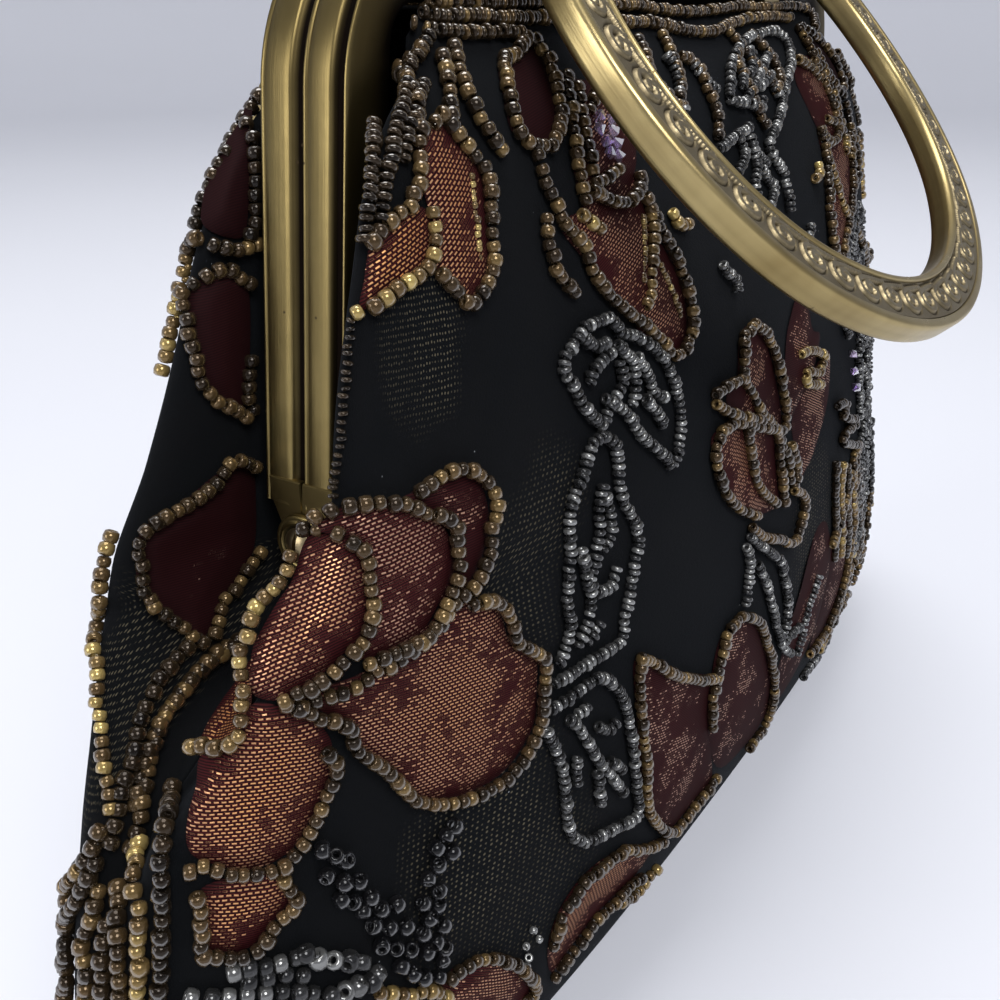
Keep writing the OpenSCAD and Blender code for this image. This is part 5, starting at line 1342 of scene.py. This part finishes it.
def bead_piece(name, beads, material, profile, sides, length):
    """One mesh of threaded beads: each is a small rounded ring, square to its thread."""
    turns = np.linspace(0, 2 * math.pi, sides, endpoint=False)
    centres, along, away = [np.array([b[k] for b in beads]) for k in range(3)]
    along /= np.linalg.norm(along, axis=1)[:, None] + tiny
    away -= along * (away * along).sum(1)[:, None]
    away /= np.linalg.norm(away, axis=1)[:, None] + tiny
    beside = np.cross(along, away)
    sizes = np.array([b[3] for b in beads])[:, None, None, None]
    skew = np.array([b[5] for b in beads])[:, None]
    along = along + beside * skew
    along /= np.linalg.norm(along, axis=1)[:, None]
    beside = np.cross(along, away)
    ring = (beside[:, None, None, :] * np.cos(turns)[None, None, :, None]
            + away[:, None, None, :] * np.sin(turns)[None, None, :, None]) * profile[None, :, 0, None, None]
    ring = ring + along[:, None, None, :] * profile[None, :, 1, None, None] * length
    points = (centres[:, None, None, :] + ring * sizes).reshape(-1, 3)
    rows = len(profile)
    one = [(i * sides + j, i * sides + (j + 1) % sides,
            ((i + 1) % rows) * sides + (j + 1) % sides, ((i + 1) % rows) * sides + j)
           for i in range(rows) for j in range(sides)]
    corners = rows * sides
    faces = (np.array(one)[None] + (np.arange(len(beads)) * corners)[:, None, None]).reshape(-1, 4).tolist()
    piece = new_piece(name, points, faces, material, smooth=sides > crystal_sides)
    set_value(piece, "tone", np.repeat([b[4] for b in beads], corners))
    return piece


def glass_finish(name, ramp, reflection_tint, clear, metal, rough):
    """Glass beads: smoky, topaz or silver lined, each a little different, with a painted reflection tint
    round the rim, where the surface turns from the view.
    """
    material, tree, shader = new_finish(name, Metallic=metal, Roughness=rough, IOR=1.38,
                                        Transmission_Weight=clear)
    tone = add_node(tree, "Attribute", attribute_name="tone")
    colours = add_node(tree, "ValToRGB", {"Fac": tone.outputs["Fac"]})
    elements = colours.color_ramp.elements
    while len(elements) < len(ramp):
        elements.new(0.5)
    for element, (place, colour) in zip(elements, ramp):
        element.position, element.color = place, colour
    # painted reflection: the colour is drawn towards a tint where the surface turns away from the view
    turned_away = add_node(tree, "LayerWeight", {"Blend": 0.35})
    edge = worked_out(tree, "POWER", turned_away.outputs["Facing"], reflection_power)
    with_painted_reflection = mix_colours(tree, edge, colours.outputs["Color"], reflection_tint)
    tree.links.new(with_painted_reflection, shader.inputs["Base Color"])
    return material


brown_glass = glass_finish("brown_glass", [
    (0.0, (0.012, 0.009, 0.007, 1)), (0.3, (0.042, 0.027, 0.014, 1)), (0.6, (0.115, 0.072, 0.031, 1)),
    (0.85, (0.27, 0.18, 0.067, 1)), (1.0, (0.6, 0.45, 0.16, 1))],
    reflection_tint=(0.15, 0.105, 0.06, 1), clear=0.25, metal=0.4, rough=0.09)
smoke_glass = glass_finish("smoke_glass", [
    (0.0, (0.005, 0.005, 0.006, 1)), (0.5, (0.014, 0.013, 0.014, 1)), (1.0, (0.06, 0.054, 0.048, 1))],
    reflection_tint=(0.06, 0.06, 0.065, 1), clear=0.15, metal=0.1, rough=0.1)
silver_glass = glass_finish("silver_glass", [
    (0.0, (0.015, 0.015, 0.016, 1)), (0.5, (0.065, 0.065, 0.066, 1)), (1.0, (0.4, 0.4, 0.39, 1))],
    reflection_tint=(0.3, 0.3, 0.3, 1), clear=0.0, metal=0.7, rough=0.12)
lilac_glass = glass_finish("lilac_glass", [
    (0.0, (0.45, 0.3, 0.75, 1)), (0.5, (0.78, 0.62, 0.95, 1)), (1.0, (0.95, 0.85, 0.95, 1))],
    reflection_tint=(0.95, 0.9, 1.0, 1), clear=0.85, metal=0.0, rough=0.02)
silver_groups, short_groups = ("leaf_beads", "silver_row_beads"), ("border_beads", "leaf_beads")
bead_finish = {group: silver_glass if group in silver_groups else brown_glass for group in strands}
bead_finish["smoke_cluster_beads"] = smoke_glass
bead_finish["lilac_crystals"] = lilac_glass
bead_nodes = {"border_beads": "_border_beads", "flower_beads": "_upper_flowers",
              "end_petal_beads": "_lower_flowers"}
for group, beads in strands.items():
    copies = beads + [tuple(tuple(turned(v)) for v in bead[:3]) + bead[3:] for bead in beads]
    for side in ("front", "rear"):
        on_side = [b for b in copies if (b[0][1] < 0) == (side == "front")]
        if not on_side:
            continue
        is_crystal = group == "lilac_crystals"
        profile, sides = (crystal_profile, crystal_sides) if is_crystal else (bead_profile, bead_sides)
        length = short_bead if group in short_groups else 1.0
        piece = bead_piece(f"{side}_{group}", on_side, bead_finish[group], profile, sides, length)
        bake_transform(piece)
        if group in bead_nodes:
            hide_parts(side + bead_nodes[group])
        if group == "end_stem_beads":
            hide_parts(("left" if side == "front" else "right") + "_stem_beads")
